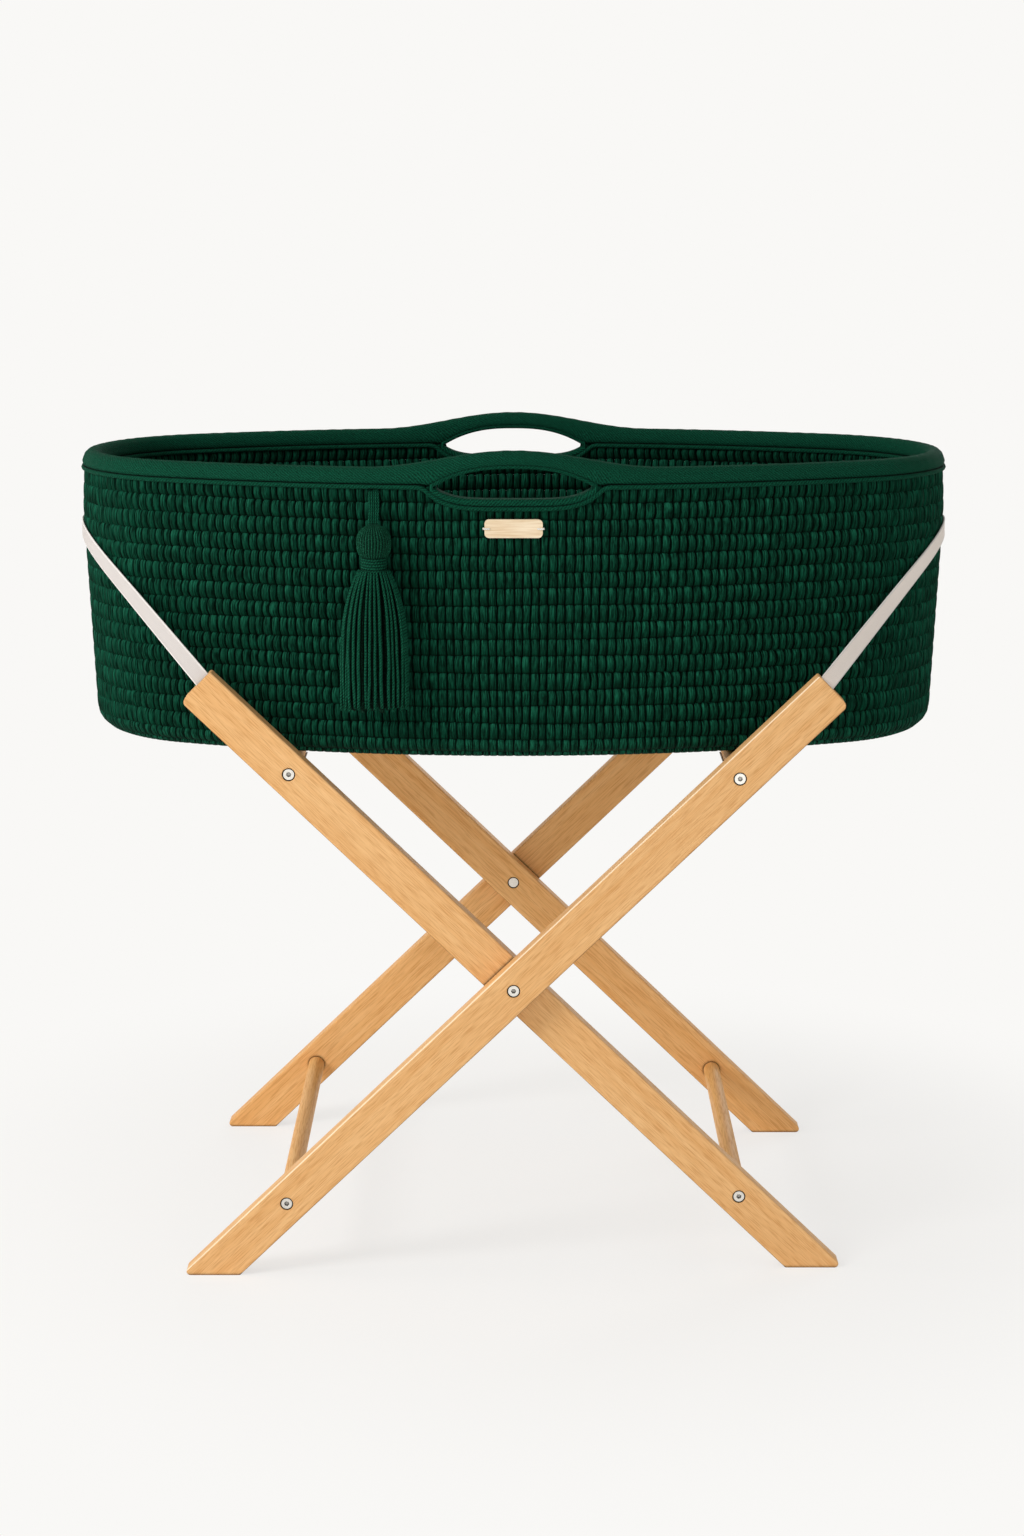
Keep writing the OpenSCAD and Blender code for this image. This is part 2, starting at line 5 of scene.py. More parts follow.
import bmesh
import bpy
import numpy as np
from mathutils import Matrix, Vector


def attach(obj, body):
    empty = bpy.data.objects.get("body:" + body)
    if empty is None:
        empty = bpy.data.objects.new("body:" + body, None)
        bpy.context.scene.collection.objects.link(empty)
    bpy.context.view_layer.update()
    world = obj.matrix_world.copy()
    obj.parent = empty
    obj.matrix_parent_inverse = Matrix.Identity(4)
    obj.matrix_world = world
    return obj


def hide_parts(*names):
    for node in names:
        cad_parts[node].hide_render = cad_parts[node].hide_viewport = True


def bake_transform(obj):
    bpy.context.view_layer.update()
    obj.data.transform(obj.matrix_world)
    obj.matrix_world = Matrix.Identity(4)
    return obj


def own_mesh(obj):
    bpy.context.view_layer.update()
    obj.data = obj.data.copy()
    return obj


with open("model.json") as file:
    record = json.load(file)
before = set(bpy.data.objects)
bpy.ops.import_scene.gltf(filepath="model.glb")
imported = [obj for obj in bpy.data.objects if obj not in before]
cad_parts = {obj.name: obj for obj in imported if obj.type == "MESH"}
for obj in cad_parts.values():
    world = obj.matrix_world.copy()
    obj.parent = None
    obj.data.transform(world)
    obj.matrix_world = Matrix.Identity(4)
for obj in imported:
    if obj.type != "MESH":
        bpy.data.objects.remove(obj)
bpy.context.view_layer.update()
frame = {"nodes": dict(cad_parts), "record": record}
record = frame["record"]

# Sizes in millimetres, as in the part's source
MM = 0.001
RAIL_ANGLE = math.radians(44.1)
RAIL_TOP_LEN, RAIL_FOOT_LEN, RAIL_T = 384.0, 377.0, 18.0
RAIL_TUCK, RAIL_GAP = 16.5, 1.16
DOWEL_D, DOWEL_REACH = 16.0, 273.0
STRAP_W, STRAP_T, STRAP_TONGUE, STRAP_SHIFT, STRAP_APEX = 15.0, 1.5, 30.0, 7.5, 186.0
SPREADER_W, SPREADER_T, SPREADER_PITCH = 40.0, 1.5, 200.0
BASKET_LEN, BASKET_W, END_R = 796.0, 405.0, 150.0
WALL_H, WALL_T, WALL_LEAN, FOOT_R = 255.0, 13.0, 11.0, 22.0
HUMP_H, HUMP_LEN = 15.0, 262.0
GRIP_LEN, GRIP_RISE, GRIP_DROP, GRIP_COVER = 138.0, 16.0, 10.0, 14.0
RIM_TAPE_H, LOOP_D, LOOP_LEN = 17.0, 4.0, 26.0
TASSEL_X, BALL_D, NECK_D, NECK_H = -120.0, 31.0, 23.0, 9.0
SKIRT_LEN, SKIRT_HEM_W, SKIRT_HEM_DEPTH = 128.0, 60.0, 27.0
SEAT_GAP = 0.3

# Places worked out from them
PIVOT_Z = RAIL_FOOT_LEN * math.sin(RAIL_ANGLE)
INNER_FACE = BASKET_W / 2 - RAIL_TUCK
OUTER_FACE = INNER_FACE + RAIL_T + RAIL_GAP
DOWEL_X = DOWEL_REACH * math.cos(RAIL_ANGLE)
DOWEL_Z = PIVOT_Z + DOWEL_REACH * math.sin(RAIL_ANGLE)
BASKET_Z = DOWEL_Z + DOWEL_D / 2 + 2 * SEAT_GAP + SPREADER_T
HALF_LEN, HALF_W = BASKET_LEN / 2, BASKET_W / 2
END_C = HALF_LEN - END_R
SIDE_R = (END_C ** 2 + HALF_W ** 2 - END_R ** 2) / (2 * (HALF_W - END_R))
SIDE_C = SIDE_R - HALF_W
LEAN_SLOPE = WALL_LEAN / (WALL_H - FOOT_R)
LEAN = math.atan(LEAN_SLOPE)
GRIP_TIP_Z = WALL_H + HUMP_H - GRIP_COVER - GRIP_RISE
GRIP_HALF = GRIP_LEN / 2
HEM_Z = WALL_H - RIM_TAPE_H
LOOP_Z = HEM_Z - LOOP_D / 2 - SEAT_GAP
BALL_Z = LOOP_Z - LOOP_LEN - BALL_D / 2
NECK_Z = BALL_Z - math.sqrt(BALL_D ** 2 - NECK_D ** 2) / 2 - NECK_H
MERGE = 1e-6


# Lines of the basket

# A higher power makes an edge of the hand hole flatter in its middle and blunter at its tips
HOLE_TOP_POWER, HOLE_FOOT_POWER = 2.6, 5
# The bead's place over the hem and under a hand hole, how softly they join, and how far out the dip runs
BEAD_RISE, BEAD_DROP, BEAD_SOFT, BEAD_REACH = 2.0, 8.2, 2.0, 110.0
BAND_RISE, BAND_HOLE_GAP = 3.6, 2.4


def lean_at(z):
    """Offset of the wall's outer face from the rim oval."""
    return LEAN_SLOPE * (z - WALL_H)


def wall_y(x, z):
    """Half width of the basket's outer face along its long sides."""
    return np.sqrt((SIDE_R + lean_at(z)) ** 2 - x * x) - SIDE_C


def oval(share, half_len, half_w, end_r, out):
    """Plan points at shares of the way round a four-arc oval, so far outside it, with outward normals."""
    end_c = half_len - end_r
    side_r = (end_c ** 2 + half_w ** 2 - end_r ** 2) / (2 * (half_w - end_r))
    side_c = side_r - half_w
    join = np.arctan2(end_c, side_c)
    end_run = (np.pi / 2 - join) * end_r
    quarter = end_run + join * side_r
    way = np.mod(share, 1.0) * 4
    turn = np.minimum(np.floor(way), 3)
    run = (way - turn) * quarter
    run = np.where(turn % 2 == 1, quarter - run, run)
    on_end = run < end_run
    angle = np.where(on_end, run / end_r, np.pi / 2 - join + (run - end_run) / side_r)
    radius = np.where(on_end, end_r, side_r) + out
    flip_x = np.where((turn == 1) | (turn == 2), -1.0, 1.0)
    flip_y = np.where(turn >= 2, -1.0, 1.0)
    x = flip_x * (np.where(on_end, end_c, 0.0) + radius * np.cos(angle))
    y = flip_y * (np.where(on_end, 0.0, -side_c) + radius * np.sin(angle))
    return x, y, flip_x * np.cos(angle), flip_y * np.sin(angle)


def rim_oval(share, out=0.0):
    return oval(share, HALF_LEN, HALF_W, END_R, out)


JOIN = math.atan2(END_C, SIDE_C)
ROUND = 4 * ((math.pi / 2 - JOIN) * END_R + JOIN * SIDE_R)


def rim_rise(x):
    """Rise of the rim above the wall's plain height."""
    return np.where(np.abs(x) < HUMP_LEN / 2, HUMP_H * (1 + np.cos(2 * np.pi * x / HUMP_LEN)) / 2, 0.0)


def hole_top(x):
    """Height of the hand hole's upper edge."""
    return GRIP_TIP_Z + GRIP_RISE * (1 - np.minimum(np.abs(x / GRIP_HALF), 1.0) ** HOLE_TOP_POWER)


def hole_foot(x):
    """Height of the hand hole's lower edge, which runs nearly level, carried on past the pointed ends."""
    return GRIP_TIP_Z - GRIP_DROP * (1 - np.abs(x / GRIP_HALF) ** HOLE_FOOT_POWER)


def bead_z(x):
    """Height of the binding's bead: level along the hem, and dipping under a hand hole."""
    level = HEM_Z + BEAD_RISE
    dip = hole_foot(np.clip(x, -BEAD_REACH, BEAD_REACH)) - BEAD_DROP
    return -BEAD_SOFT * np.log(np.exp(-level / BEAD_SOFT) + np.exp(-dip / BEAD_SOFT))


def band_foot(x):
    """Height of the padded band's lower edge, which lifts over a hand hole."""
    plain = HEM_Z + BAND_RISE
    over = np.where(np.abs(x) < GRIP_HALF, hole_top(x) + BAND_HOLE_GAP, plain)
    return np.maximum(plain, over)


# Skins and sweeps

def skin(columns, rows, place):
    """A grid of points and UVs from place(column, row), in millimetres, with seams merged and ends closed."""
    bm = bmesh.new()
    bm.loops.layers.uv.new("UVMap")
    bmesh.ops.create_grid(bm, x_segments=columns, y_segments=rows, size=0.5, calc_uvs=True)
    mesh = bpy.data.meshes.new("skin")
    bm.to_mesh(mesh)
    bm.free()
    flat = np.empty(len(mesh.vertices) * 3)
    mesh.vertices.foreach_get("co", flat)
    column = np.rint((flat[0::3] + 0.5) * columns).astype(int)
    row = np.rint((flat[1::3] + 0.5) * rows).astype(int)
    points, uv = place(column, row)
    mesh.vertices.foreach_set("co", (points * MM).ravel())
    corner = np.empty(len(mesh.loops), int)
    mesh.loops.foreach_get("vertex_index", corner)
    mesh.uv_layers[0].uv.foreach_set("vector", uv[corner].ravel())
    bm = bmesh.new()
    bm.from_mesh(mesh)
    bmesh.ops.remove_doubles(bm, verts=bm.verts, dist=MERGE)
    bmesh.ops.holes_fill(bm, edges=[e for e in bm.edges if e.is_boundary])
    bmesh.ops.recalc_face_normals(bm, faces=bm.faces)
    bm.to_mesh(mesh)
    bm.free()
    return mesh


def run_along(points):
    """Distance along a closed line of points, from the first one round to it again."""
    steps = np.linalg.norm(np.diff(points, axis=0, append=points[:1]), axis=1)
    return np.concatenate([[0.0], np.cumsum(steps)])


def sweep(line, normal, section, closed=False, grow=None, uv_size=(MM, MM)):
    """A skin along a line: the section gives offsets along the normal and across the line."""
    stations, corners = len(line), len(section)
    if closed:
        along = np.roll(line, -1, 0) - np.roll(line, 1, 0)
    else:
        along = np.gradient(line, axis=0)
    along /= np.linalg.norm(along, axis=1)[:, None]
    across = np.cross(along, normal)
    across /= np.linalg.norm(across, axis=1)[:, None]
    outward = np.cross(across, along)
    run, rim = run_along(line), run_along(section)
    size = np.ones((stations, 2)) if grow is None else grow

    def place(column, row):
        i, j = column % stations, row % corners
        points = (line[i] + outward[i] * (section[j, 0] * size[i, 0])[:, None]
                  + across[i] * (section[j, 1] * size[i, 1])[:, None])
        return points, np.stack([run[column] * uv_size[0], rim[row] * uv_size[1]], 1)

    return skin(stations if closed else stations - 1, corners, place)


def round_section(radius, sides):
    """A cord's section."""
    turn = np.arange(sides) * 2 * np.pi / sides
    return np.stack([radius * np.cos(turn), radius * np.sin(turn)], 1)


def piece(name, skins, material, body, stands_for=(), ride=True):
    """One object from its skins: smooth, with its finish, riding on its body."""
    bm = bmesh.new()
    for mesh in skins:
        bm.from_mesh(mesh)
        bpy.data.meshes.remove(mesh)
    mesh = bpy.data.meshes.new(name)
    bm.to_mesh(mesh)
    bm.free()
    mesh.shade_smooth()
    mesh.materials.append(material)
    thing = bpy.data.objects.new(name, mesh)
    bpy.context.scene.collection.objects.link(thing)
    if ride:
        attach(thing, body)
    if stands_for:
        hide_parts(*stands_for)
    return thing


# Materials

def linear(code):
    """An sRGB hex colour as linear RGBA."""
    parts = [int(code[i:i + 2], 16) / 255 for i in (1, 3, 5)]
    return [c / 12.92 if c <= 0.04045 else ((c + 0.055) / 1.055) ** 2.4 for c in parts] + [1.0]


def add(tree, kind, inputs=None, out=0, **settings):
    """Adds a node and gives one output, or all for None. Inputs take a value, a hex colour or a socket."""
    node = tree.nodes.new("ShaderNode" + kind)
    for key, value in settings.items():
        setattr(node, key, value)
    for key, value in (inputs or {}).items():
        if isinstance(value, bpy.types.NodeSocket):
            tree.links.new(value, node.inputs[key])
        else:
            node.inputs[key].default_value = linear(value) if isinstance(value, str) else value
    return node.outputs if out is None else node.outputs[out]


def start(name, place, **surface):
    """A material with its shader's plain values set, and the Object or UV place for its patterns."""
    made = bpy.data.materials.new(name)
    made.use_nodes = True
    tree = made.node_tree
    shader = tree.nodes["Principled BSDF"]
    for key, value in surface.items():
        shader.inputs[key.replace("_", " ")].default_value = value
    return made, tree, add(tree, "TexCoord", out=place)


def dress(made, **sockets):
    """Links sockets to the shader's inputs by name, and gives the material."""
    tree = made.node_tree
    for key, socket in sockets.items():
        tree.links.new(socket, tree.nodes["Principled BSDF"].inputs[key.replace("_", " ")])
    return made


# Bands per unit in the Wave texture at a scale of 1
WAVE_BANDS = 20 / (2 * math.pi)
# Where the painted highlight on a rail's upper front edge and the painted shade on its lower edges begin and
# are full, in metres off its middle line or back from its front
HIGHLIGHT_LINE, SHADE_LINE, HIGHLIGHT_BACK = (0.0172, 0.0178), (0.0176, 0.0182), (0.0012, 0.0004)
# Where a tape's selvedge begins and is full, as shares of its half width
SELVEDGE = 0.8, 0.88


def wave_scale(pitch):
    """The Wave texture's scale for bands so many metres apart."""
    return 1 / pitch / WAVE_BANDS


def paint_recess_shade(tree, colour, reach, dark):
    """The colour with painted shade: it goes towards a dark tint where other surfaces close in within a reach
    in metres.
    """
    open_share = add(tree, "AmbientOcclusion", {"Distance": reach}, samples=5, out="AO")
    shade = add(tree, "MapRange", {"Value": open_share, "From Min": 0.4, "From Max": 0.9})
    return add(tree, "Mix", {0: shade, 6: dark, 7: colour}, data_type="RGBA", out=2)


def beech(name, turn, shift, tones, highlight_strength=0.0, shade_strength=0.0):
    """Planed beech under satin lacquer: honey, with dark ray flecks along the grain and faint growth lines.

    The flecks are duller than the rest, and gaps get painted shade. A rail's upper front edge may get a pale
    painted highlight and its lower edges a brown painted shade."""
    made, tree, spot = start(name, "Object", Specular_IOR_Level=0.05, Coat_Weight=0.03, Coat_Roughness=0.3)
    pale, mid, fleck = tones
    grain = add(tree, "Mapping", {"Vector": spot, "Rotation": turn, "Location": shift})
    # Growth lines about 7 mm apart, drawn out along the rail
    slow = add(tree, "Mapping", {"Vector": grain, "Scale": (1.6, 1.0, 1.0)})
    sway = add(tree, "TexNoise", {"Vector": slow, "Scale": 14.0, "Detail": 3.0}, out="Fac")
    lines = add(tree, "TexWave", {"Vector": slow, "Scale": wave_scale(0.007), "Distortion": 5.0,
                                  "Detail Scale": 0.6}, bands_direction="Z", out="Fac")
    # Ray flecks are 0.3 mm wide; drawn about 0.8 mm wide and 18 mm long, to show
    short = add(tree, "Mapping", {"Vector": grain, "Scale": (55.0, 1250.0, 1250.0)})
    dash = add(tree, "TexNoise", {"Vector": short, "Scale": 1.0, "Detail": 1.0}, out="Fac")
    flecks = add(tree, "MapRange", {"Value": dash, "From Min": 0.46, "From Max": 0.66})
    # Streaks 6 to 12 mm wide
    broad = add(tree, "Mapping", {"Vector": grain, "Scale": (6.0, 160.0, 160.0)})
    streak = add(tree, "TexNoise", {"Vector": broad, "Scale": 1.0, "Detail": 3.0}, out="Fac")
    tone = add(tree, "MapRange", {"Value": streak, "From Min": 0.3, "From Max": 0.75})
    wood = add(tree, "Mix", {0: tone, 6: pale, 7: mid}, data_type="RGBA", out=2)
    faint = add(tree, "Math", {0: lines, 1: sway}, operation="MULTIPLY")
    ring = add(tree, "Math", {0: faint, 1: 0.14}, operation="MULTIPLY")
    mark = add(tree, "Math", {0: flecks, 1: 0.45}, operation="MULTIPLY")
    # Both edge lines, the painted highlight and the painted shade, are about 1 mm wide
    at = add(tree, "SeparateXYZ", {0: grain}, out=None)
    axis = shift[2] + PIVOT_Z * MM * math.cos(RAIL_ANGLE)
    front = shift[1] - (OUTER_FACE + RAIL_T) * MM
    upper = add(tree, "MapRange", {"Value": at["Z"], "From Min": axis + HIGHLIGHT_LINE[0],
                                   "From Max": axis + HIGHLIGHT_LINE[1], "To Max": highlight_strength})
    fore = add(tree, "MapRange", {"Value": at["Y"], "From Min": front + HIGHLIGHT_BACK[0],
                                  "From Max": front + HIGHLIGHT_BACK[1]})
    upper_highlight = add(tree, "Math", {0: upper, 1: fore}, operation="MULTIPLY")
    lower_shade = add(tree, "MapRange", {"Value": at["Z"], "From Min": axis - SHADE_LINE[0],
                                  "From Max": axis - SHADE_LINE[1], "To Max": shade_strength})
    # The grain's lines and flecks, then the painted highlight along the upper front edge and the painted
    # shade along the lower edges
    for share, tint in ((ring, fleck), (mark, fleck), (upper_highlight, "#FFEFD2"), (lower_shade, "#6B4018")):
        wood = add(tree, "Mix", {0: share, 6: wood, 7: tint}, data_type="RGBA", out=2)
    # Painted shade in the gaps: round the bolt heads in their counterbores and along the lines where the
    # rails cross
    wood = paint_recess_shade(tree, wood, 0.003, "#2E1B0C")
    dull = add(tree, "MapRange", {"Value": flecks, "To Min": 0.38, "To Max": 0.55})
    eased = add(tree, "Bevel", {"Radius": 0.0018}, samples=4)
    relief = add(tree, "Bump", {"Height": flecks, "Strength": 0.06, "Distance": 0.0002, "Normal": eased},
                 invert=True)
    return dress(made, Base_Color=wood, Roughness=dull, Normal=relief)


def stitched_rope():
    """Cotton yarn stitched over rope: green bundles of strands, with a painted highlight at the top of each
    bundle and painted shade at its foot and in the gaps between.
    """
    made, tree, spot = start("stitched_cotton_rope", "UV", Roughness=0.85, Specular_IOR_Level=0.05)
    # Across a bundle U runs 0 to 1, and down it V does; strands about 1 mm wide and 10 mm long
    fibre = add(tree, "Mapping", {"Vector": spot, "Scale": (7.5, 1.4, 1.0)})
    streak = add(tree, "TexNoise", {"Vector": fibre, "Scale": 1.0, "Roughness": 0.6}, out="Fac")
    strands = add(tree, "MapRange", {"Value": streak, "From Min": 0.38, "From Max": 0.68})
    part = add(tree, "VectorMath", {0: spot}, operation="FRACTION")
    place = add(tree, "SeparateXYZ", {0: part}, out=None)
    whole = add(tree, "VectorMath", {0: spot}, operation="FLOOR")
    lot = add(tree, "TexWhiteNoise", {"Vector": whole}, noise_dimensions="2D", out="Value")
    # Painted highlight on the strands at the top of a bundle, where light from above falls
    top_light = add(tree, "MapRange", {"Value": place["Y"], "From Min": 0.85, "From Max": 0.0})
    top_highlight = add(tree, "Math", {0: strands, 1: top_light}, operation="MULTIPLY")
    yarn = add(tree, "Mix", {0: strands, 6: "#001D12", 7: "#02422D"}, data_type="RGBA", out=2)
    tone = add(tree, "MapRange", {"Value": lot, "To Max": 0.35})
    # Painted shade on the tucked foot of a bundle and in the gaps beside it
    side = add(tree, "Math", {0: place["X"], 1: 0.5}, operation="SUBTRACT")
    side = add(tree, "Math", {0: side}, operation="ABSOLUTE")
    gap = add(tree, "MapRange", {"Value": side, "From Min": 0.35, "From Max": 0.45})
    tuck = add(tree, "MapRange", {"Value": place["Y"], "From Min": 0.78, "From Max": 0.97})
    crease_shade = add(tree, "Math", {0: gap, 1: tuck}, operation="MAXIMUM")
    crease_shade = add(tree, "Math", {0: crease_shade, 1: 0.93}, operation="MULTIPLY")
    for share, tint in ((top_highlight, "#1F6C52"), (tone, "#01160D"), (crease_shade, "#000904")):
        yarn = add(tree, "Mix", {0: share, 6: yarn, 7: tint}, data_type="RGBA", out=2)
    relief = add(tree, "Bump", {"Height": strands, "Strength": 0.9, "Distance": 0.001})
    return dress(made, Base_Color=yarn, Normal=relief)


def twill_tape():
    """Cotton twill tape: green, matt, with a fine diagonal rib and some lint, and painted shade, near black,
    in its folds.
    """
    made, tree, spot = start("cotton_twill_tape", "UV", Roughness=0.85, Specular_IOR_Level=0.06)
    # Ribs 2 mm apart at 50 degrees, crossed by threads 0.9 mm apart
    turned = add(tree, "Mapping", {"Vector": spot, "Rotation": (0, 0, math.radians(-50))})
    ribs = add(tree, "TexWave", {"Vector": turned, "Scale": wave_scale(0.002), "Distortion": 3.5,
                                 "Detail": 3.0, "Detail Scale": 2.5}, out="Fac")
    threads = add(tree, "TexWave", {"Vector": spot, "Scale": wave_scale(0.0009), "Distortion": 1.0},
                  out="Fac")
    weave = add(tree, "Mix", {0: 0.3, 2: ribs, 3: threads})
    # Lint specks about 1 mm across
    fade = add(tree, "TexNoise", {"Vector": spot, "Scale": 1000.0}, out="Fac")
    cloth = add(tree, "Mix", {0: weave, 6: "#00160D", 7: "#074C36"}, data_type="RGBA", out=2)
    lint = add(tree, "MapRange", {"Value": fade, "From Min": 0.48, "From Max": 0.75, "To Max": 0.7})
    cloth = add(tree, "Mix", {0: lint, 6: cloth, 7: "#1A6249"}, data_type="RGBA", out=2)
    # Painted shade, near black, in the folds and where the band meets the bead and lips
    cloth = paint_recess_shade(tree, cloth, 0.004, "#000B06")
    relief = add(tree, "Bump", {"Height": weave, "Strength": 0.8, "Distance": 0.0008})
    return dress(made, Base_Color=cloth, Normal=relief)


def twisted_yarn(name, pitch, angle, dark, light):
    """Mercerised cotton yarn: green, with the slanting lay of its twist, painted highlights on specks of fuzz
    and painted shade where cords close in.
    """
    made, tree, spot = start(name, "UV", Roughness=0.8, Specular_IOR_Level=0.06)
    turned = add(tree, "Mapping", {"Vector": spot, "Rotation": (0, 0, angle)})
    lay = add(tree, "TexWave", {"Vector": turned, "Scale": wave_scale(pitch), "Distortion": 1.0}, out="Fac")
    fuzz = add(tree, "TexNoise", {"Vector": spot, "Scale": 900.0}, out="Fac")
    yarn = add(tree, "Mix", {0: lay, 6: dark, 7: light}, data_type="RGBA", out=2)
    # Painted highlights on random specks of fuzz
    fuzz_highlight = add(tree, "MapRange", {"Value": fuzz, "From Min": 0.5, "From Max": 0.75, "To Max": 0.6})
    yarn = add(tree, "Mix", {0: fuzz_highlight, 6: yarn, 7: "#2E7A5E"}, data_type="RGBA", out=2)
    # Painted shade, near black, where other cords and the ball close in
    yarn = paint_recess_shade(tree, yarn, 0.004, "#000703")
    relief = add(tree, "Bump", {"Height": lay, "Strength": 0.7, "Distance": 0.0005})
    return dress(made, Base_Color=yarn, Normal=relief)


def cotton_webbing(name, half_w, dark, light):
    """Woven cotton webbing: warm off-white, with fine cross threads and its own selvedge along both edges."""
    made, tree, spot = start(name, "UV", Roughness=0.85, Specular_IOR_Level=0.25, Sheen_Weight=0.1)
    place = add(tree, "SeparateXYZ", {0: spot}, out=None)
    # Cross threads 0.9 mm apart and warp cords 1.2 mm apart
    weft = add(tree, "TexWave", {"Vector": spot, "Scale": wave_scale(0.0009), "Distortion": 1.5}, out="Fac")
    warp = add(tree, "TexWave", {"Vector": spot, "Scale": wave_scale(0.0012), "Distortion": 0.8},
               bands_direction="Y", out="Fac")
    weave = add(tree, "Math", {0: weft, 1: warp}, operation="MULTIPLY")
    speck = add(tree, "TexNoise", {"Vector": spot, "Scale": 1400.0}, out="Fac")
    thread = add(tree, "Mix", {0: weave, 6: dark, 7: light}, data_type="RGBA", out=2)
    dull = add(tree, "MapRange", {"Value": speck, "From Min": 0.55, "From Max": 0.75, "To Max": 0.3})
    thread = add(tree, "Mix", {0: dull, 6: thread, 7: "#B0A49B"}, data_type="RGBA", out=2)
    off = add(tree, "Math", {0: place["Y"]}, operation="ABSOLUTE")
    edge = add(tree, "MapRange", {"Value": off, "From Min": half_w * MM * SELVEDGE[0],
                                  "From Max": half_w * MM * SELVEDGE[1]})
    thread = add(tree, "Mix", {0: edge, 6: thread, 7: "#DCD7D2"}, data_type="RGBA", out=2)
    relief = add(tree, "Bump", {"Height": weave, "Strength": 0.5, "Distance": 0.0003})
    return dress(made, Base_Color=thread, Normal=relief)


def turned_metal(name, light, dark, roughness):
    """Turned and plated metal: bright, with small dull spots, and painted shade that goes near black in its
    recesses.
    """
    made, tree, spot = start(name, "Object", Metallic=1.0, Roughness=roughness)
    # Dull spots about 1.5 mm across
    spots = add(tree, "TexNoise", {"Vector": spot, "Scale": 650.0, "Detail": 3.0}, out="Fac")
    tone = add(tree, "Mix", {0: spots, 6: dark, 7: light}, data_type="RGBA", out=2)
    # Painted shade, near black, in recesses such as a bolt's hex socket and the ring round its head in the
    # counterbore
    tone = paint_recess_shade(tree, tone, 0.0032, "#120B05")
    dull = add(tree, "MapRange", {"Value": spots, "To Min": roughness - 0.1, "To Max": roughness + 0.15})
    return dress(made, Base_Color=tone, Roughness=dull)


def moulded_nylon():
    """Natural moulded nylon: milky and slightly cloudy."""
    made, tree, spot = start("moulded_nylon", "Object", Roughness=0.45, IOR=1.53)
    cloud = add(tree, "TexNoise", {"Vector": spot, "Scale": 400.0}, out="Fac")
    tone = add(tree, "Mix", {0: cloud, 6: "#E4E1D8", 7: "#F1EFE9"}, data_type="RGBA", out=2)
    return dress(made, Base_Color=tone)


def sanded_maple():
    """Sanded pale maple: cream, with faint level grain and a matt face."""
    made, tree, spot = start("sanded_maple", "Object", Roughness=0.6)
    # Grain lines about 1.5 mm apart along the plate
    grain = add(tree, "Mapping", {"Vector": spot, "Scale": (40.0, 660.0, 660.0)})
    line = add(tree, "TexNoise", {"Vector": grain, "Scale": 1.0, "Detail": 3.0}, out="Fac")
    tone = add(tree, "MapRange", {"Value": line, "From Min": 0.35, "From Max": 0.7})
    wood = add(tree, "Mix", {0: tone, 6: "#EFDCBE", 7: "#DCBF97"}, data_type="RGBA", out=2)
    relief = add(tree, "Bump", {"Height": line, "Strength": 0.2, "Distance": 0.0002})
    return dress(made, Base_Color=wood, Normal=relief)


def waxed_thread():
    """Waxed linen thread: off-white and a little shiny, with a twist."""
    made, tree, spot = start("waxed_linen_thread", "Object", Roughness=0.5)
    # The twist's lay is 0.8 mm long
    lay = add(tree, "TexWave", {"Vector": spot, "Scale": wave_scale(0.0008), "Distortion": 1.0},
              bands_direction="DIAGONAL", out="Fac")
    tone = add(tree, "Mix", {0: lay, 6: "#CFCBC2", 7: "#F2EFE8"}, data_type="RGBA", out=2)
    return dress(made, Base_Color=tone)


# Stand: the CAD's rails, dowels and fittings with their finishes

ALONG_OUTER, ALONG_INNER, ALONG_Y = (0, RAIL_ANGLE, 0), (0, -RAIL_ANGLE, 0), (0, 0, math.pi / 2)
# Tones of the wood, its streaks and its flecks
FRONT_TONES = ("#ECBD84", "#E1AB6F", "#B87A3C")
# Painted shade: the rear rails take a more orange copy of the front's tones, for how they look in the shade
# under the basket
REAR_SHADE_TONES = ("#F0BC7F", "#E5A967", "#C0803E")
DOWEL_TONES = ("#EAB878", "#DEA460", "#B87A3C")
# Strengths of the painted highlight on the outer front rail's upper edge and of the painted shade on all
# rails' lower edges
EDGE_HIGHLIGHT, EDGE_SHADE = 0.75, 0.6
rail_finish = {
    "outer_rail_front": beech("beech_outer_front", ALONG_OUTER, (0.3, 0.1, 0.7), FRONT_TONES, EDGE_HIGHLIGHT, EDGE_SHADE),
    "inner_rail_front": beech("beech_inner_front", ALONG_INNER, (1.3, 0.4, 0.2), FRONT_TONES, 0.0, EDGE_SHADE),
    "outer_rail_rear": beech("beech_outer_rear", ALONG_OUTER, (2.3, 0.7, 1.1), REAR_SHADE_TONES, 0.0, EDGE_SHADE),
    "inner_rail_rear": beech("beech_inner_rear", ALONG_INNER, (3.3, 0.9, 1.9), REAR_SHADE_TONES, 0.0, EDGE_SHADE),
}
twill = twill_tape()
slot_finish = {
    "beech": beech("beech_dowel", ALONG_Y, (0.7, 0.2, 0.5), DOWEL_TONES),
    "bolt_steel": turned_metal("zinc_plated_steel", "#E8E4DC", "#C6C2BA", 0.38),
    "insert_brass": turned_metal("turned_brass", "#D8B46C", "#B58F4A", 0.35),
    "washer_nylon": moulded_nylon(),
    "plate_wood": sanded_maple(),
    "thread": waxed_thread(),
    "binding": twill,
}
for part in record["subparts"]:
    node = part["node"]
    chosen = rail_finish.get(node) or slot_finish.get(part["material_slot"])
    if chosen:
        mesh = frame["nodes"][node].data
        mesh.materials.clear()
        mesh.materials.append(chosen)


# Basket: rows of rope under stitches

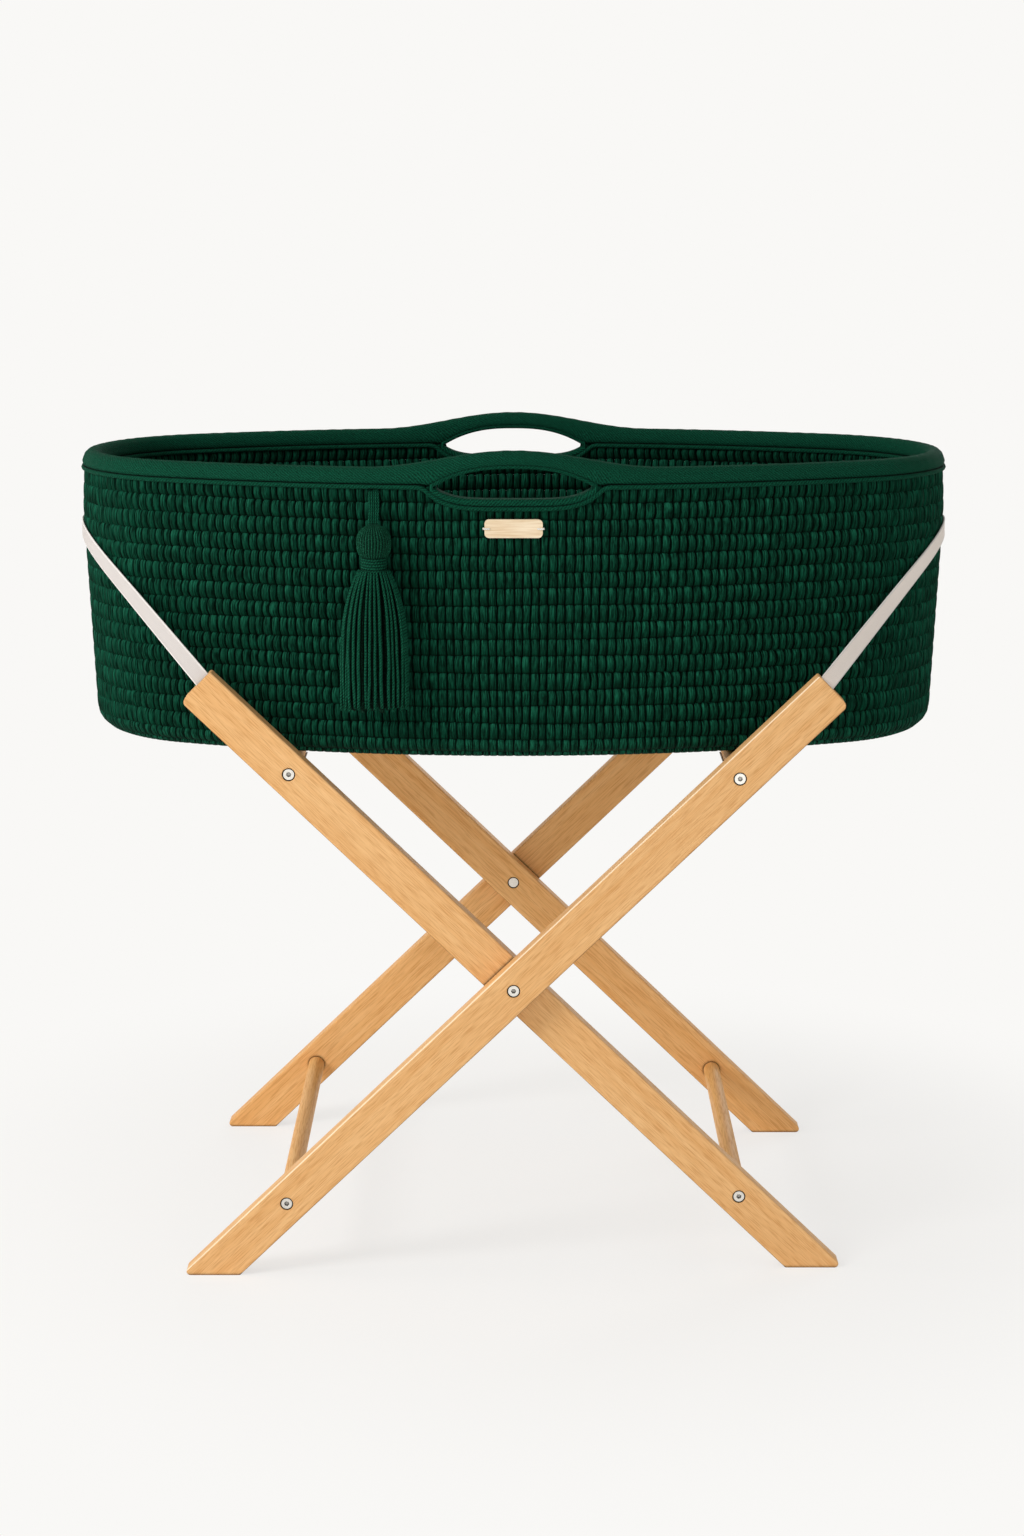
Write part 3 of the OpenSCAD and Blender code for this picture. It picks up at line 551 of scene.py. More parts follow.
ROPE_TUCK = 3.0
ROPE_TOP = HEM_Z + ROPE_TUCK
STRAIGHT = (ROPE_TOP - FOOT_R) / math.cos(LEAN)
ROWS = 17
ROW_PITCH = (STRAIGHT + FOOT_R * math.pi / 2) / ROWS
STITCHES = 256
ROWS_IN_PIECE = 5
# Places across a bundle and how far each stands up from the crease beside it
BUNDLE_AT = np.array([0.0, 0.08, 0.24, 0.5, 0.76, 0.92])
BUNDLE_UP = np.array([0.0, 0.42, 0.86, 1.0, 0.86, 0.42])
# Places down a bundle's face and up its back, and how far each stands out from the middle of the wall
FACE_AT = np.array([0.0, 0.02, 0.09, 0.28, 0.6, 0.85, 0.96])
FACE_UP = np.array([0.0, 0.58, 0.88, 1.0, 0.99, 0.88, 0.55])
BACK_AT = np.array([0.94, 0.5, 0.06])
BACK_UP = np.array([0.6, 1.0, 0.7])
LOOP_AT = np.concatenate([FACE_AT, [1.0], BACK_AT])
LOOP_UP = np.concatenate([FACE_UP, [0.0], BACK_UP])
LOOP_BACK = np.arange(len(LOOP_AT)) > len(FACE_AT)
# Depths of the creases, the share of them left under the foot, and where on its round that share is reached
DEEP, SHALLOW, FOOT_DENT = 5.4, 3.8, 0.1
FOOT_FADE = [STRAIGHT - 8, STRAIGHT + 20]
# Bundles bow, lean and drift one way at the left end and the other way at the right
BOW, BUNDLE_LEAN, ROW_FAN = -0.26, -0.16, 0.14
# How far chance moves a crease's depth, lean, bow and place
DEPTH_CHANCE, LEAN_CHANCE, BOW_CHANCE, SHIFT_CHANCE = 0.3, 0.06, 0.06, 0.07
WALL_SEED, SWAY_SEED, BASE_SEED = 100, 500, 900
# Towards the ends the rows run together and the yarn lies in one wavy mass, with shallower creases
END_CALM, CALM_POWER, CALM_DENT, CALM_V = 0.6, 6, 0.5, 0.6
# The seams' sway, how far a bundle tucks under the next row, the last one's overlap and the least bundle
SEAM_SWAY, SEAM_TUCK, LAST_TUCK, LEAST_BUNDLE = 0.35, 1.4, 0.3, 1.5
SWAY_TURNS = (3, 7, 12)
HOLE_MARGIN = 3.0
# Bundles' tops are domed, and the corners of the dome lie below the seam
DOME_H, DOME_SINK = 2.6, 0.6
DOME = 1 - np.abs(2 * BUNDLE_AT - 1) ** 2.5
# At the basket's ends the rim draws in, from a height up; powers keep it to the ends and ease it in
END_TUCK, TUCK_FOOT, TUCK_MOST, TUCK_END_POWER, TUCK_POWER = 6.0, 195.0, 1.2, 4, 1.5
# Keeps V inside its own row
V_LEAST, V_MOST = 0.001, 0.999


def wall_face(run):
    """Offset, height and outward normal of the wall's face, so far down from the rope's top."""
    turn = np.maximum(run - STRAIGHT, 0.0) / FOOT_R
    z = np.where(turn > 0, FOOT_R * (1 - np.sin(turn)), ROPE_TOP - run * math.cos(LEAN))
    out = np.where(turn > 0, -WALL_LEAN - FOOT_R * (1 - np.cos(turn)), lean_at(z))
    normal_out = np.where(turn > 0, np.cos(turn), math.cos(LEAN))
    normal_z = np.where(turn > 0, -np.sin(turn), -math.sin(LEAN))
    return out, z, normal_out, normal_z


def side_fan(share):
    """1 at the basket's left end, none at the middles of its sides, and -1 at its right end."""
    return -np.cos(2 * np.pi * share)


def end_tuck(share, z):
    """How far the rim draws in at the basket's ends, so that the wall bulges under it."""
    rise = np.clip((z - TUCK_FOOT) / (WALL_H - TUCK_FOOT), 0.0, TUCK_MOST)
    return -END_TUCK * np.abs(side_fan(share)) ** TUCK_END_POWER * rise ** TUCK_POWER


class Bundles:
    """Creases between the bundles of one row: alternately deep and shallow, bowed and leaning."""

    def __init__(self, count, seed):
        chance = np.random.default_rng(seed)
        odd = np.arange(count) % 2
        fan = side_fan(np.arange(count) / count)
        self.count = count
        self.depth = np.where(odd, SHALLOW, DEEP) + chance.normal(0, DEPTH_CHANCE, count)
        self.lean = BUNDLE_LEAN * fan + chance.normal(0, LEAN_CHANCE, count)
        self.bow = BOW * fan + chance.normal(0, BOW_CHANCE, count)
        self.shift = chance.normal(0, SHIFT_CHANCE, count)

    def crease(self, index, v):
        """Place of a crease along the row, in bundles, so far down it."""
        k = index % self.count
        return index + self.shift[k] + self.lean[k] * (0.5 - v) + self.bow[k] * np.sin(np.pi * v)

    def place(self, column, v):
        """Place along the row, in bundles, how deep the yarn lies there, and U."""
        left, across = column // len(BUNDLE_AT), BUNDLE_AT[column % len(BUNDLE_AT)]
        at = (1 - across) * self.crease(left, v) + across * self.crease(left + 1, v)
        near = np.where(across < 0.5, left, left + 1) % self.count
        dent = self.depth[near] * (1 - BUNDLE_UP[column % len(BUNDLE_AT)])
        return at, dent, left + across


def yarn_depth(k, up, dent):
    """How deep in the wall the yarn lies from the outer face, at a place round a row's section."""
    depth = (1 - up) * WALL_T / 2 + dent * up
    return np.where(LOOP_BACK[k], WALL_T - depth, depth)


def seam_run(row, share):
    """How far down the seam above a row lies. It sways a little, and opens under the hand holes."""
    if row == 0:
        x = rim_oval(share)[0]
        under_hole = np.minimum(ROPE_TOP, hole_foot(x) - HOLE_MARGIN)
        opened = np.where(np.abs(x) < GRIP_HALF - HOLE_MARGIN, under_hole, ROPE_TOP)
        return (ROPE_TOP - opened) / math.cos(LEAN)
    wave = np.random.default_rng(SWAY_SEED + row).uniform(0, 2 * np.pi, len(SWAY_TURNS))
    sway = sum(np.sin(2 * np.pi * share * n + p) for n, p in zip(SWAY_TURNS, wave))
    return row * ROW_PITCH + (SEAM_SWAY * sway if row < ROWS else 0.0)


def rope_row(row):
    """One row of the wall: a closed tube of bundles on both faces."""
    bundles = Bundles(STITCHES, WALL_SEED + row)

    def place(column, loop):
        k = loop % len(LOOP_AT)
        v = LOOP_AT[k]
        at, dent, u = bundles.place(column, v)
        share = (at + ROW_FAN * row * side_fan(at / STITCHES)) / STITCHES
        foot = seam_run(row + 1, share) + (SEAM_TUCK if row + 1 < ROWS else LAST_TUCK)
        dome = DOME_H * (DOME[column % len(DOME)] - DOME_SINK)
        top = np.minimum(seam_run(row, share) - (dome if row > 0 else 0.0), foot - LEAST_BUNDLE)
        run = top + v * (foot - top)
        out, z, normal_out, normal_z = wall_face(run)
        calm = END_CALM * np.abs(side_fan(share)) ** CALM_POWER
        dent = dent * np.interp(run, FOOT_FADE, [1.0, FOOT_DENT]) * (1 - CALM_DENT * calm)
        up = LOOP_UP[k] + calm * (1 - LOOP_UP[k]) * (LOOP_UP[k] > 0)
        depth = yarn_depth(k, up, dent)
        x, y = rim_oval(share, out + end_tuck(share, z) - depth * normal_out)[:2]
        points = np.stack([x, y, z - depth * normal_z + BASKET_Z], 1)
        # Towards the ends V keeps nearer a row's middle, so the painted highlight at the bundles' tops and
        # the painted shade at their feet fade there
        down = np.clip(0.5 + (v - 0.5) * (1 - CALM_V * calm), V_LEAST, V_MOST)
        return points, np.stack([u, row + down], 1)

    return skin(STITCHES * len(BUNDLE_AT), len(LOOP_AT), place)


rope = stitched_rope()
for first in range(0, ROWS, ROWS_IN_PIECE):
    rows = range(first, min(first + ROWS_IN_PIECE, ROWS))
    name = f"rope_rows_{first + 1:02d}_{rows[-1] + 1:02d}"
    piece(name, [rope_row(r) for r in rows], rope, "basket", ["basket_wall"] if first == 0 else ())

# Base: rows of the same rope, one inside the other
BASE_LEN, BASE_W = HALF_LEN - WALL_LEAN - FOOT_R - SEAT_GAP, HALF_W - WALL_LEAN - FOOT_R - SEAT_GAP
BASE_END = END_R - WALL_LEAN - FOOT_R - SEAT_GAP
BASE_ROWS = 12
BASE_PITCH = BASE_W / BASE_ROWS
BASE_STITCH, LEAST_STITCHES, BASE_HEART = 8.0, 12, 0.4
# A row's run shortens by this share of a circle's as it lies further in
BASE_SHORTEN = 0.92
# The base's rows of UVs come after the wall's
BASE_UV_ROW = 40


def base_row(row):
    """One flat row of the base, stitched on both faces."""
    middle = (row + 0.5) * BASE_PITCH
    length = ROUND - 2 * math.pi * (WALL_LEAN + FOOT_R + middle * BASE_SHORTEN)
    count = max(LEAST_STITCHES, 2 * round(length / BASE_STITCH / 2))
    bundles = Bundles(count, BASE_SEED + row)

    def place(column, loop):
        k = loop % len(LOOP_AT)
        v = LOOP_AT[k]
        at, dent, u = bundles.place(column, v)
        inset = np.minimum((row + v) * BASE_PITCH, BASE_W - BASE_HEART)
        left = BASE_W - inset
        x, y = oval(at / count, BASE_LEN - inset, left, BASE_END * left / BASE_W, 0.0)[:2]
        z = yarn_depth(k, LOOP_UP[k], dent)
        down = np.clip(v, V_LEAST, V_MOST)
        return np.stack([x, y, z + BASKET_Z], 1), np.stack([u, BASE_UV_ROW + row + down], 1)

    return skin(count * len(BUNDLE_AT), len(LOOP_AT), place)


piece("rope_base", [base_row(r) for r in range(BASE_ROWS)], rope, "basket", ["basket_base"])


# Binding: a padded band over the rim, a bead along its hem, and a lip round each hand hole

BAND_STATIONS = 720
BAND_PUFF = 1.5
# Slight puckers along the band, and how often they come and swell round the rim
PUCKER, PUCKERS, SWELLS = 0.16, 131, 17
BEAD_OUT, BEAD_R, BEAD_SIDES = 0.6, 2.2, 8
LIP_TOP_W, LIP_FOOT_W, LIP_PROUD, LIP_STEPS, LIP_EASE = 3.8, 6.4, 1.9, 64, 6


def rim_band():
    """The padded band: legs down both faces, a round top, and a flat underside that roofs the hand holes."""
    half = WALL_T / 2
    turn = np.radians(np.arange(0, 181, 30))
    # Places up a leg and how far each stands out from the wall
    leg = np.array([0.0, 0.2, 0.6])
    leg_out = np.array([-0.4, 1.4, 2.2])
    # The section's corners: up the outer leg, over the top, down the inner leg, and the underside's middle
    top, inner, under = len(leg), len(leg) + len(turn), 2 * len(leg) + len(turn)
    corners = under + 1
    # Millimetres of tape up to each corner, for V
    girth = np.cumsum([0, 2, 3, 3.5] + [4.5] * 6 + [3.5, 3, 2, 6.5, 6.5])

    def place(column, row):
        share = (column % BAND_STATIONS) / BAND_STATIONS
        k = row % corners
        x = rim_oval(share)[0]
        foot = band_foot(x)
        mid_z = WALL_H + rim_rise(x) - half
        mid_out = lean_at(mid_z) - half
        pucker = PUCKER * np.sin(2 * np.pi * share * PUCKERS) * np.sin(2 * np.pi * share * SWELLS)
        on_inner = (k >= inner) & (k < under)
        on_leg = (k < top) | on_inner
        side = np.where(on_inner, -1.0, 1.0)
        step = np.where(k < top, k, np.where(on_inner, under - 1 - k, 0))
        leg_z = foot + leg[step] * (mid_z - foot)
        leg_at = lean_at(leg_z) - half + side * (half + leg_out[step] + pucker * leg[step])
        arc = turn[np.clip(k - top, 0, len(turn) - 1)]
        reach = half + BAND_PUFF + pucker
        out = np.where(on_leg, leg_at, mid_out + reach * np.cos(arc))
        z = np.where(on_leg, leg_z, mid_z + reach * np.sin(arc))
        out = np.where(k == under, lean_at(foot) - half, out)
        z = np.where(k == under, foot, z)
        px, py = rim_oval(share, out + end_tuck(share, z))[:2]
        uv = np.stack([column / BAND_STATIONS * ROUND * MM, girth[row] * MM], 1)
        return np.stack([px, py, z + BASKET_Z], 1), uv

    return skin(BAND_STATIONS, corners, place)


def hem_bead(face):
    """The rolled edge along the band's hem, on the outer or the inner face."""
    share = np.arange(BAND_STATIONS) / BAND_STATIONS
    x = rim_oval(share)[0]
    z = bead_z(x)
    out = lean_at(z) + (BEAD_OUT if face > 0 else -WALL_T - BEAD_OUT)
    px, py, nx, ny = rim_oval(share, out + end_tuck(share, z))
    line = np.stack([px, py, z + BASKET_Z], 1)
    normal = np.stack([nx * face, ny * face, np.zeros_like(nx)], 1)
    return sweep(line, normal, round_section(BEAD_R, BEAD_SIDES), closed=True)


# Half of the lip's thickness and its width, both as shares, from its edge in the hole outwards
LIP_SECTION = np.array([
    (0.0, 0.0), (0.62, 0.0), (0.9, 0.1), (1.0, 0.36), (1.0, 0.64), (0.92, 0.92), (0.78, 1.0),
    (0.0, 1.0), (-0.78, 1.0), (-0.92, 0.92), (-1.0, 0.64), (-1.0, 0.36), (-0.9, 0.1), (-0.62, 0.0),
])


def hole_lip(side):
    """Tape folded through a hand hole and over its edge on both faces."""
    sweep_x = GRIP_HALF * np.cos(np.pi * (np.arange(LIP_STEPS) + 0.5) / LIP_STEPS)
    x = np.concatenate([sweep_x, -sweep_x])
    z = np.concatenate([hole_top(sweep_x), hole_foot(-sweep_x)])
    width = np.repeat([LIP_TOP_W, LIP_FOOT_W], LIP_STEPS)
    for _ in range(LIP_EASE):
        width = (np.roll(width, 1) + width + np.roll(width, -1)) / 3
    turn = np.arcsin(x / SIDE_R)
    radius = SIDE_R + lean_at(z) - WALL_T / 2
    line = np.stack([radius * np.sin(turn), side * (radius * np.cos(turn) - SIDE_C), z + BASKET_Z], 1)
    normal = np.stack([np.sin(turn), side * np.cos(turn), np.zeros_like(x)], 1)
    grow = np.stack([np.full(len(x), WALL_T / 2 + LIP_PROUD), -width * side], 1)
    return sweep(line, normal, LIP_SECTION, closed=True, grow=grow, uv_size=(MM, 5 * MM))


band = piece("rim_band", [rim_band()], twill, "basket", ["rim_binding"])
piece("hem_bead", [hem_bead(1), hem_bead(-1)], twill, "basket")
for name, side in (("front", -1), ("rear", 1)):
    piece(f"hand_hole_lip_{name}", [hole_lip(side)], twill, "basket", [f"handle_binding_{name}"])


# Tassel

LOOP_Y = -(float(wall_y(TASSEL_X + LOOP_D, LOOP_Z)) + SEAT_GAP + LOOP_D / 2)
HANG_Y = -(float(wall_y(TASSEL_X, BALL_Z)) + SEAT_GAP + BALL_D / 2)
WRAPS_H, WRAPS_Z = 12.5, NECK_Z - 6.0
SHOULDER_W, SHOULDER_DEPTH = 25.0, 21.0
LOOP_STRANDS, STRAND_R, STRAND_PITCH, STRAND_STEPS = 5, 0.95, 1.8, 14
STRAND_WEAVE, STRAND_STAGGER, STRAND_HANG = 0.12, 0.35, 1.3
STRAND_TOP, STRAND_FOOT = LOOP_Z + 1.2, BALL_Z + BALL_D * 0.4
RIDGES, RIDGE_H, RIDGE_SWAY = 34, 0.6, 0.9
RIDGE_PITCH = math.pi * BALL_D / RIDGES
# A power under 1 keeps the ball full towards its foot; the ridges stand on a slightly smaller ball
BALL_FOOT_POWER, BALL_INSET, POLE_INSET = 0.42, 0.7, 0.3
WRAPS, WRAP_BULGE, WRAP_INSET, WRAP_SLOPE = 5, 1.3, 1.4, 0.3
# Rounds of cords: how many, how far in as a share, and their radius
OUTER_CORDS, CORE_CORDS = [(33, 0.0, 1.55)], [(24, 0.26, 1.9), (10, 0.62, 1.9)]
OUTER_SEED, CORE_SEED = 77, 78
# How far chance moves a cord's thickness, its place in the round and its length, and bends and waves it
THICK_CHANCE, TURN_CHANCE, LENGTH_CHANCE, BEND, STRAY, WAVE = 0.15, 0.22, 0.035, 1.2, 0.9, 0.35
CORD_TOP, CORD_TIP = 0.74, 0.8
CORD_SIDES, CORD_STATIONS, HEM_INSET, SPREAD_POWER = 7, 15, 4.0, 4.2
# Length of a cord's lay in metres, and its slant
LAY, LAY_ANGLE = 0.0021, math.radians(38)
cord_yarn = twisted_yarn("tassel_cord_yarn", LAY, LAY_ANGLE, "#002115", "#074F38")
# Painted shade: the inner rounds of cords take a near black copy of the cord yarn, for the shade inside the
# skirt
core_yarn_painted_shade = twisted_yarn("tassel_core_yarn_painted_shade", LAY, LAY_ANGLE, "#000A05", "#01180F")
# The ball's lay runs with its ridges, dark in the grooves and light on the crests: painted shade and painted
# highlight
ball_yarn = twisted_yarn("tassel_ball_yarn", RIDGE_PITCH * MM, 0.0, "#000C06", "#053D29")


def tassel_loop():
    """Strands side by side from the stitch under the hem to the top of the ball."""
    skins = []
    for n in range(LOOP_STRANDS):
        side = n - (LOOP_STRANDS - 1) / 2
        t = np.linspace(0, 1, STRAND_STEPS)
        x = TASSEL_X + side * (STRAND_PITCH + STRAND_WEAVE * np.sin(3 * np.pi * t + n))
        y = LOOP_Y + (HANG_Y - LOOP_Y) * t ** STRAND_HANG - STRAND_STAGGER * (n % 2)
        z = STRAND_TOP + (STRAND_FOOT - STRAND_TOP) * t
        line = np.stack([x, y, z + BASKET_Z], 1)
        normal = np.tile([0.0, -1.0, 0.0], (len(t), 1))
        skins.append(sweep(line, normal, round_section(STRAND_R, CORD_SIDES)))
    return skins


def tassel_ball():
    """Yarn drawn over a ball that is fuller below, in fine upright ridges."""
    around, down = RIDGES * 4, 20

    def place(column, row):
        turn = 2 * np.pi * (column % around) / around
        drop = np.pi * row / down
        full = np.sin(drop) ** np.where(row > down / 2, BALL_FOOT_POWER, 1.0) * (row < down)
        sway = RIDGE_SWAY * np.sin(3 * drop)
        ridge = RIDGE_H * np.cos(RIDGES * turn + sway)
        radius = (BALL_D / 2 - BALL_INSET + ridge) * full
        points = np.stack([TASSEL_X + radius * np.cos(turn), HANG_Y + radius * np.sin(turn),
                           BASKET_Z + BALL_Z + (BALL_D / 2 - POLE_INSET) * np.cos(drop)], 1)
        # U puts the lay's light bands on the ridges' crests and its dark bands in the grooves: painted shade
        # and highlight
        ridge_run = column / around * RIDGES + sway / (2 * np.pi) + 0.5
        return points, np.stack([ridge_run * RIDGE_PITCH * MM, drop * BALL_D / 2 * MM], 1)

    return skin(around, down, place)


def tassel_neck():
    """Cord wound round the yarn under the ball."""
    each, around = 6, 40

    def place(column, row):
        turn = 2 * np.pi * (column % around) / around
        rise = row / (WRAPS * each)
        bulge = np.abs(np.sin(np.pi * rise * WRAPS))
        radius = NECK_D / 2 - WRAP_INSET + WRAP_BULGE * bulge
        z = WRAPS_Z + WRAPS_H * (rise + WRAP_SLOPE / WRAPS * np.sin(turn))
        points = np.stack([TASSEL_X + radius * np.cos(turn), HANG_Y + radius * np.sin(turn), BASKET_Z + z], 1)
        return points, np.stack([column / around * math.pi * NECK_D * MM, rise * WRAPS_H * MM], 1)

    return skin(around, WRAPS * each, place)


def tassel_skirt(rounds, seed):
    """Rounds of hanging cords, each its own length, that spread over round shoulders under the wraps."""
    chance = np.random.default_rng(seed)
    skins = []
    for count, inset, usual in rounds:
        for n in range(count):
            thick = usual * chance.uniform(1 - THICK_CHANCE, 1 + THICK_CHANCE)
            turn = 2 * np.pi * (n + chance.uniform(-TURN_CHANCE, TURN_CHANCE)) / count
            t = np.linspace(0, 1, CORD_STATIONS) ** 1.5
            spread = 1 - (1 - t) ** SPREAD_POWER
            wide = SHOULDER_W + (SKIRT_HEM_W - HEM_INSET - SHOULDER_W) * spread
            half_w = wide / 2 * (1 - inset)
            deep = SHOULDER_DEPTH + (SKIRT_HEM_DEPTH - HEM_INSET - SHOULDER_DEPTH) * spread
            half_d = deep / 2 * (1 - inset)
            length = WRAPS_Z - NECK_Z + SKIRT_LEN * (1 - LENGTH_CHANCE * chance.uniform() + 0.012 * inset)
            sway = (chance.uniform(-BEND, BEND) * np.sin(np.pi * t) + chance.uniform(-STRAY, STRAY) * t
                    + WAVE * np.sin(chance.uniform(14, 20) * t + chance.uniform(0, 6)) * t)
            line = np.stack([TASSEL_X + half_w * np.cos(turn) + sway,
                             HANG_Y + half_d * np.sin(turn) * (1 + 0.02 * sway),
                             BASKET_Z + WRAPS_Z + 1.0 - (length + 1.0) * t], 1)
            normal = np.tile([math.cos(turn), math.sin(turn), 0.05], (len(t), 1))
            size = thick * (CORD_TOP + (1 - CORD_TOP) * t)
            size[-1] *= CORD_TIP
            grow = np.stack([size, size], 1)
            section = round_section(1.0, CORD_SIDES)
            skins.append(sweep(line, normal, section, grow=grow, uv_size=(MM, MM * thick)))
    return skins


piece("tassel_strands", tassel_loop(), cord_yarn, "tassel", ["tassel_loop"])
piece("tassel_yarn_ball", [tassel_ball()], ball_yarn, "tassel", ["tassel_ball"])
piece("tassel_wraps", [tassel_neck()], cord_yarn, "tassel", ["tassel_neck"])
piece("tassel_cords", tassel_skirt(OUTER_CORDS, OUTER_SEED), cord_yarn, "tassel", ["tassel_skirt"])
piece("tassel_core_cords", tassel_skirt(CORE_CORDS, CORE_SEED), core_yarn_painted_shade, "tassel")


# Webbing

# Stations in the slot, on the straight run, round the basket's end, round a dowel and between dowels
TONGUE_STEPS, STRAIGHT_STEPS, CLIMB_STEPS, SPREADER_TURNS, SPREADER_STEPS = 4, 25, 31, 30, 32
# The tongue's run in the slot as shares of its length, and the angles round a dowel in degrees
TONGUE_RUN, DOWEL_WRAP = (-0.95, -0.1), (-25, -270)


def tape_section(width, thick):
    """A woven tape's section: flat faces, with a selvedge that stands a little proud at both edges."""
    side = np.array([-1.0, -0.985, -0.93, -0.85, -0.8, -0.4, 0.0, 0.4, 0.8, 0.85, 0.93, 0.985])
    proud = np.array([0.0, 0.6, 1.0, 1.0, 0.82, 0.84, 0.84, 0.84, 0.82, 1.0, 1.0, 0.6])
    upper = np.stack([proud * thick / 2, side * width / 2], 1)
    return np.concatenate([upper, -upper])


def tape_skin(line, normal, width, thick):
    """A tape along a line, with V across its width from its middle line."""
    section = tape_section(width, thick)
    made = sweep(line, normal, section)
    uv = np.empty(len(made.loops) * 2)
    made.uv_layers[0].uv.foreach_get("vector", uv)
    reach = np.append(section[:, 1], section[0, 1])
    uv[1::2] = np.interp(uv[1::2], run_along(section) * MM, reach * MM)
    made.uv_layers[0].uv.foreach_set("vector", uv)
    return made


def strap_half(y):
    """Rear half of an end strap: out of the rail's slot, straight to the basket's end, and up round it."""
    along = np.array([math.cos(RAIL_ANGLE), 0.0, math.sin(RAIL_ANGLE)])
    across = np.array([-math.sin(RAIL_ANGLE), 0.0, math.cos(RAIL_ANGLE)])
    leave = np.array([0.0, y, PIVOT_Z]) + RAIL_TOP_LEN * along + STRAP_SHIFT * across
    strap_r = END_R + lean_at(STRAP_APEX + STRAP_W / 2) + SEAT_GAP + STRAP_T / 2
    to_leave = leave[:2] - [END_C, 0.0]
    touch_angle = math.atan2(to_leave[1], to_leave[0]) - math.acos(strap_r / np.linalg.norm(to_leave))
    touch = np.array([END_C + strap_r * math.cos(touch_angle), strap_r * math.sin(touch_angle)])
    run = np.linalg.norm(touch - leave[:2])
    arc = strap_r * touch_angle
    slope = (BASKET_Z + STRAP_APEX - leave[2]) / (run + arc / 2)
    heading = np.array([touch[0] - leave[0], touch[1] - leave[1], slope * run])
    tongue = np.linspace(*TONGUE_RUN, TONGUE_STEPS)[:, None] * STRAP_TONGUE * along + leave
    s = np.linspace(0, 1, STRAIGHT_STEPS)
    straight = leave + s[:, None] * heading
    lay = math.pi / 2 + (touch_angle - math.pi / 2) * s
    s = np.linspace(0, 1, CLIMB_STEPS)[1:]
    turn = touch_angle * (1 - s)
    climb = np.stack([END_C + strap_r * np.cos(turn), strap_r * np.sin(turn),
                      leave[2] + slope * run + slope * arc * s * (1 - s / 2)], 1)
    angle = np.concatenate([np.full(TONGUE_STEPS, math.pi / 2), lay, turn])
    return np.concatenate([tongue, straight, climb]), np.stack([np.cos(angle), np.sin(angle), 0 * angle], 1)


def end_strap(face, flip):
    """A whole end strap: the rear half, then its mirror image at the front."""
    line, normal = strap_half(face + RAIL_T / 2)
    front = [1.0, -1.0, 1.0]
    line = np.concatenate([line, line[-2::-1] * front]) * [flip, 1.0, 1.0]
    normal = np.concatenate([normal, normal[-2::-1] * front]) * [flip, 1.0, 1.0]
    return tape_skin(line, normal, STRAP_W, STRAP_T)


def spreader_strap(side):
    """Wide tape over both upper dowels, turned round each and tucked up underneath."""
    radius = DOWEL_D / 2 + SEAT_GAP + SPREADER_T / 2
    turn = np.radians(np.linspace(*DOWEL_WRAP, SPREADER_TURNS))
    loop = np.stack([-DOWEL_X + radius * np.cos(turn), radius * np.sin(turn)], 1)
    web_x = np.linspace(-DOWEL_X, DOWEL_X, SPREADER_STEPS + 2)[1:-1]
    web = np.stack([web_x, np.full(SPREADER_STEPS, radius)], 1)
    path = np.concatenate([loop, web, loop[::-1] * [-1, 1]])
    off_loop = np.stack([np.cos(turn), np.sin(turn)], 1)
    facing = np.concatenate([off_loop, np.tile([0.0, 1.0], (SPREADER_STEPS, 1)), off_loop[::-1] * [-1, 1]])
    line = np.stack([path[:, 0], np.full(len(path), side * SPREADER_PITCH / 2), path[:, 1] + DOWEL_Z], 1)
    normal = np.stack([facing[:, 0], 0 * facing[:, 0], facing[:, 1]], 1)
    return tape_skin(line, normal, SPREADER_W, SPREADER_T)


# The end straps are one webbing in two tones: the left one darker, painted shade where the key light falls
# strongest, and the right one paler, painted light on the side the key misses
left_webbing_painted_shade = cotton_webbing("cotton_webbing_left_painted_shade", STRAP_W / 2, "#BDB6B1", "#CCC6C2")
right_webbing_painted_light = cotton_webbing("cotton_webbing_right_painted_light", STRAP_W / 2, "#F3E7DD", "#FBF3EB")
wide_webbing = cotton_webbing("wide_cotton_webbing", SPREADER_W / 2, "#C6BDB6", "#D6CFC9")
ends = (("outer", OUTER_FACE, 1, right_webbing_painted_light), ("inner", INNER_FACE, -1, left_webbing_painted_shade))
for name, face, flip, webbing in ends:
    strap = piece(f"{name}_webbing", [end_strap(face, flip)], webbing, f"{name}_frame",
                  [f"{name}_end_strap"])
    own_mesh(strap)
for name, side in (("front", -1), ("rear", 1)):
    strap = piece(f"spreader_webbing_{name}", [spreader_strap(side)], wide_webbing, "",
                  [f"spreader_strap_{name}"], ride=False)
    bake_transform(strap)


# Studio: a pale floor that runs into the backdrop, soft light from upper left, and the photo's camera

BACKDROP = "#F9F8F6"
# The share of plain backdrop in the floor by the stand, and where in metres it begins to rise and is whole
FLOOR_CALM, FADE_NEAR, FADE_FAR, FLOOR_R = 0.7, 0.36, 0.8, 14.0
WORLD_GLOW = 0.5
# The camera was fitted to points measured on the photograph
CAMERA_PLACE, CAMERA_DIP, LENS_MM, SENSOR_MM = (-0.0014, -2.8405, 0.9871), 11.34, 72.39, 36.0


def seen_plain(tree):
    """1 for rays that see the backdrop as it is: from the camera, off a shine or through glass."""
    ray = add(tree, "LightPath", out=None)
    seen = ray["Is Camera Ray"]
    for kind in ("Is Glossy Ray", "Is Transmission Ray"):
        seen = add(tree, "Math", {0: seen, 1: ray[kind]}, operation="MAXIMUM")
    return seen


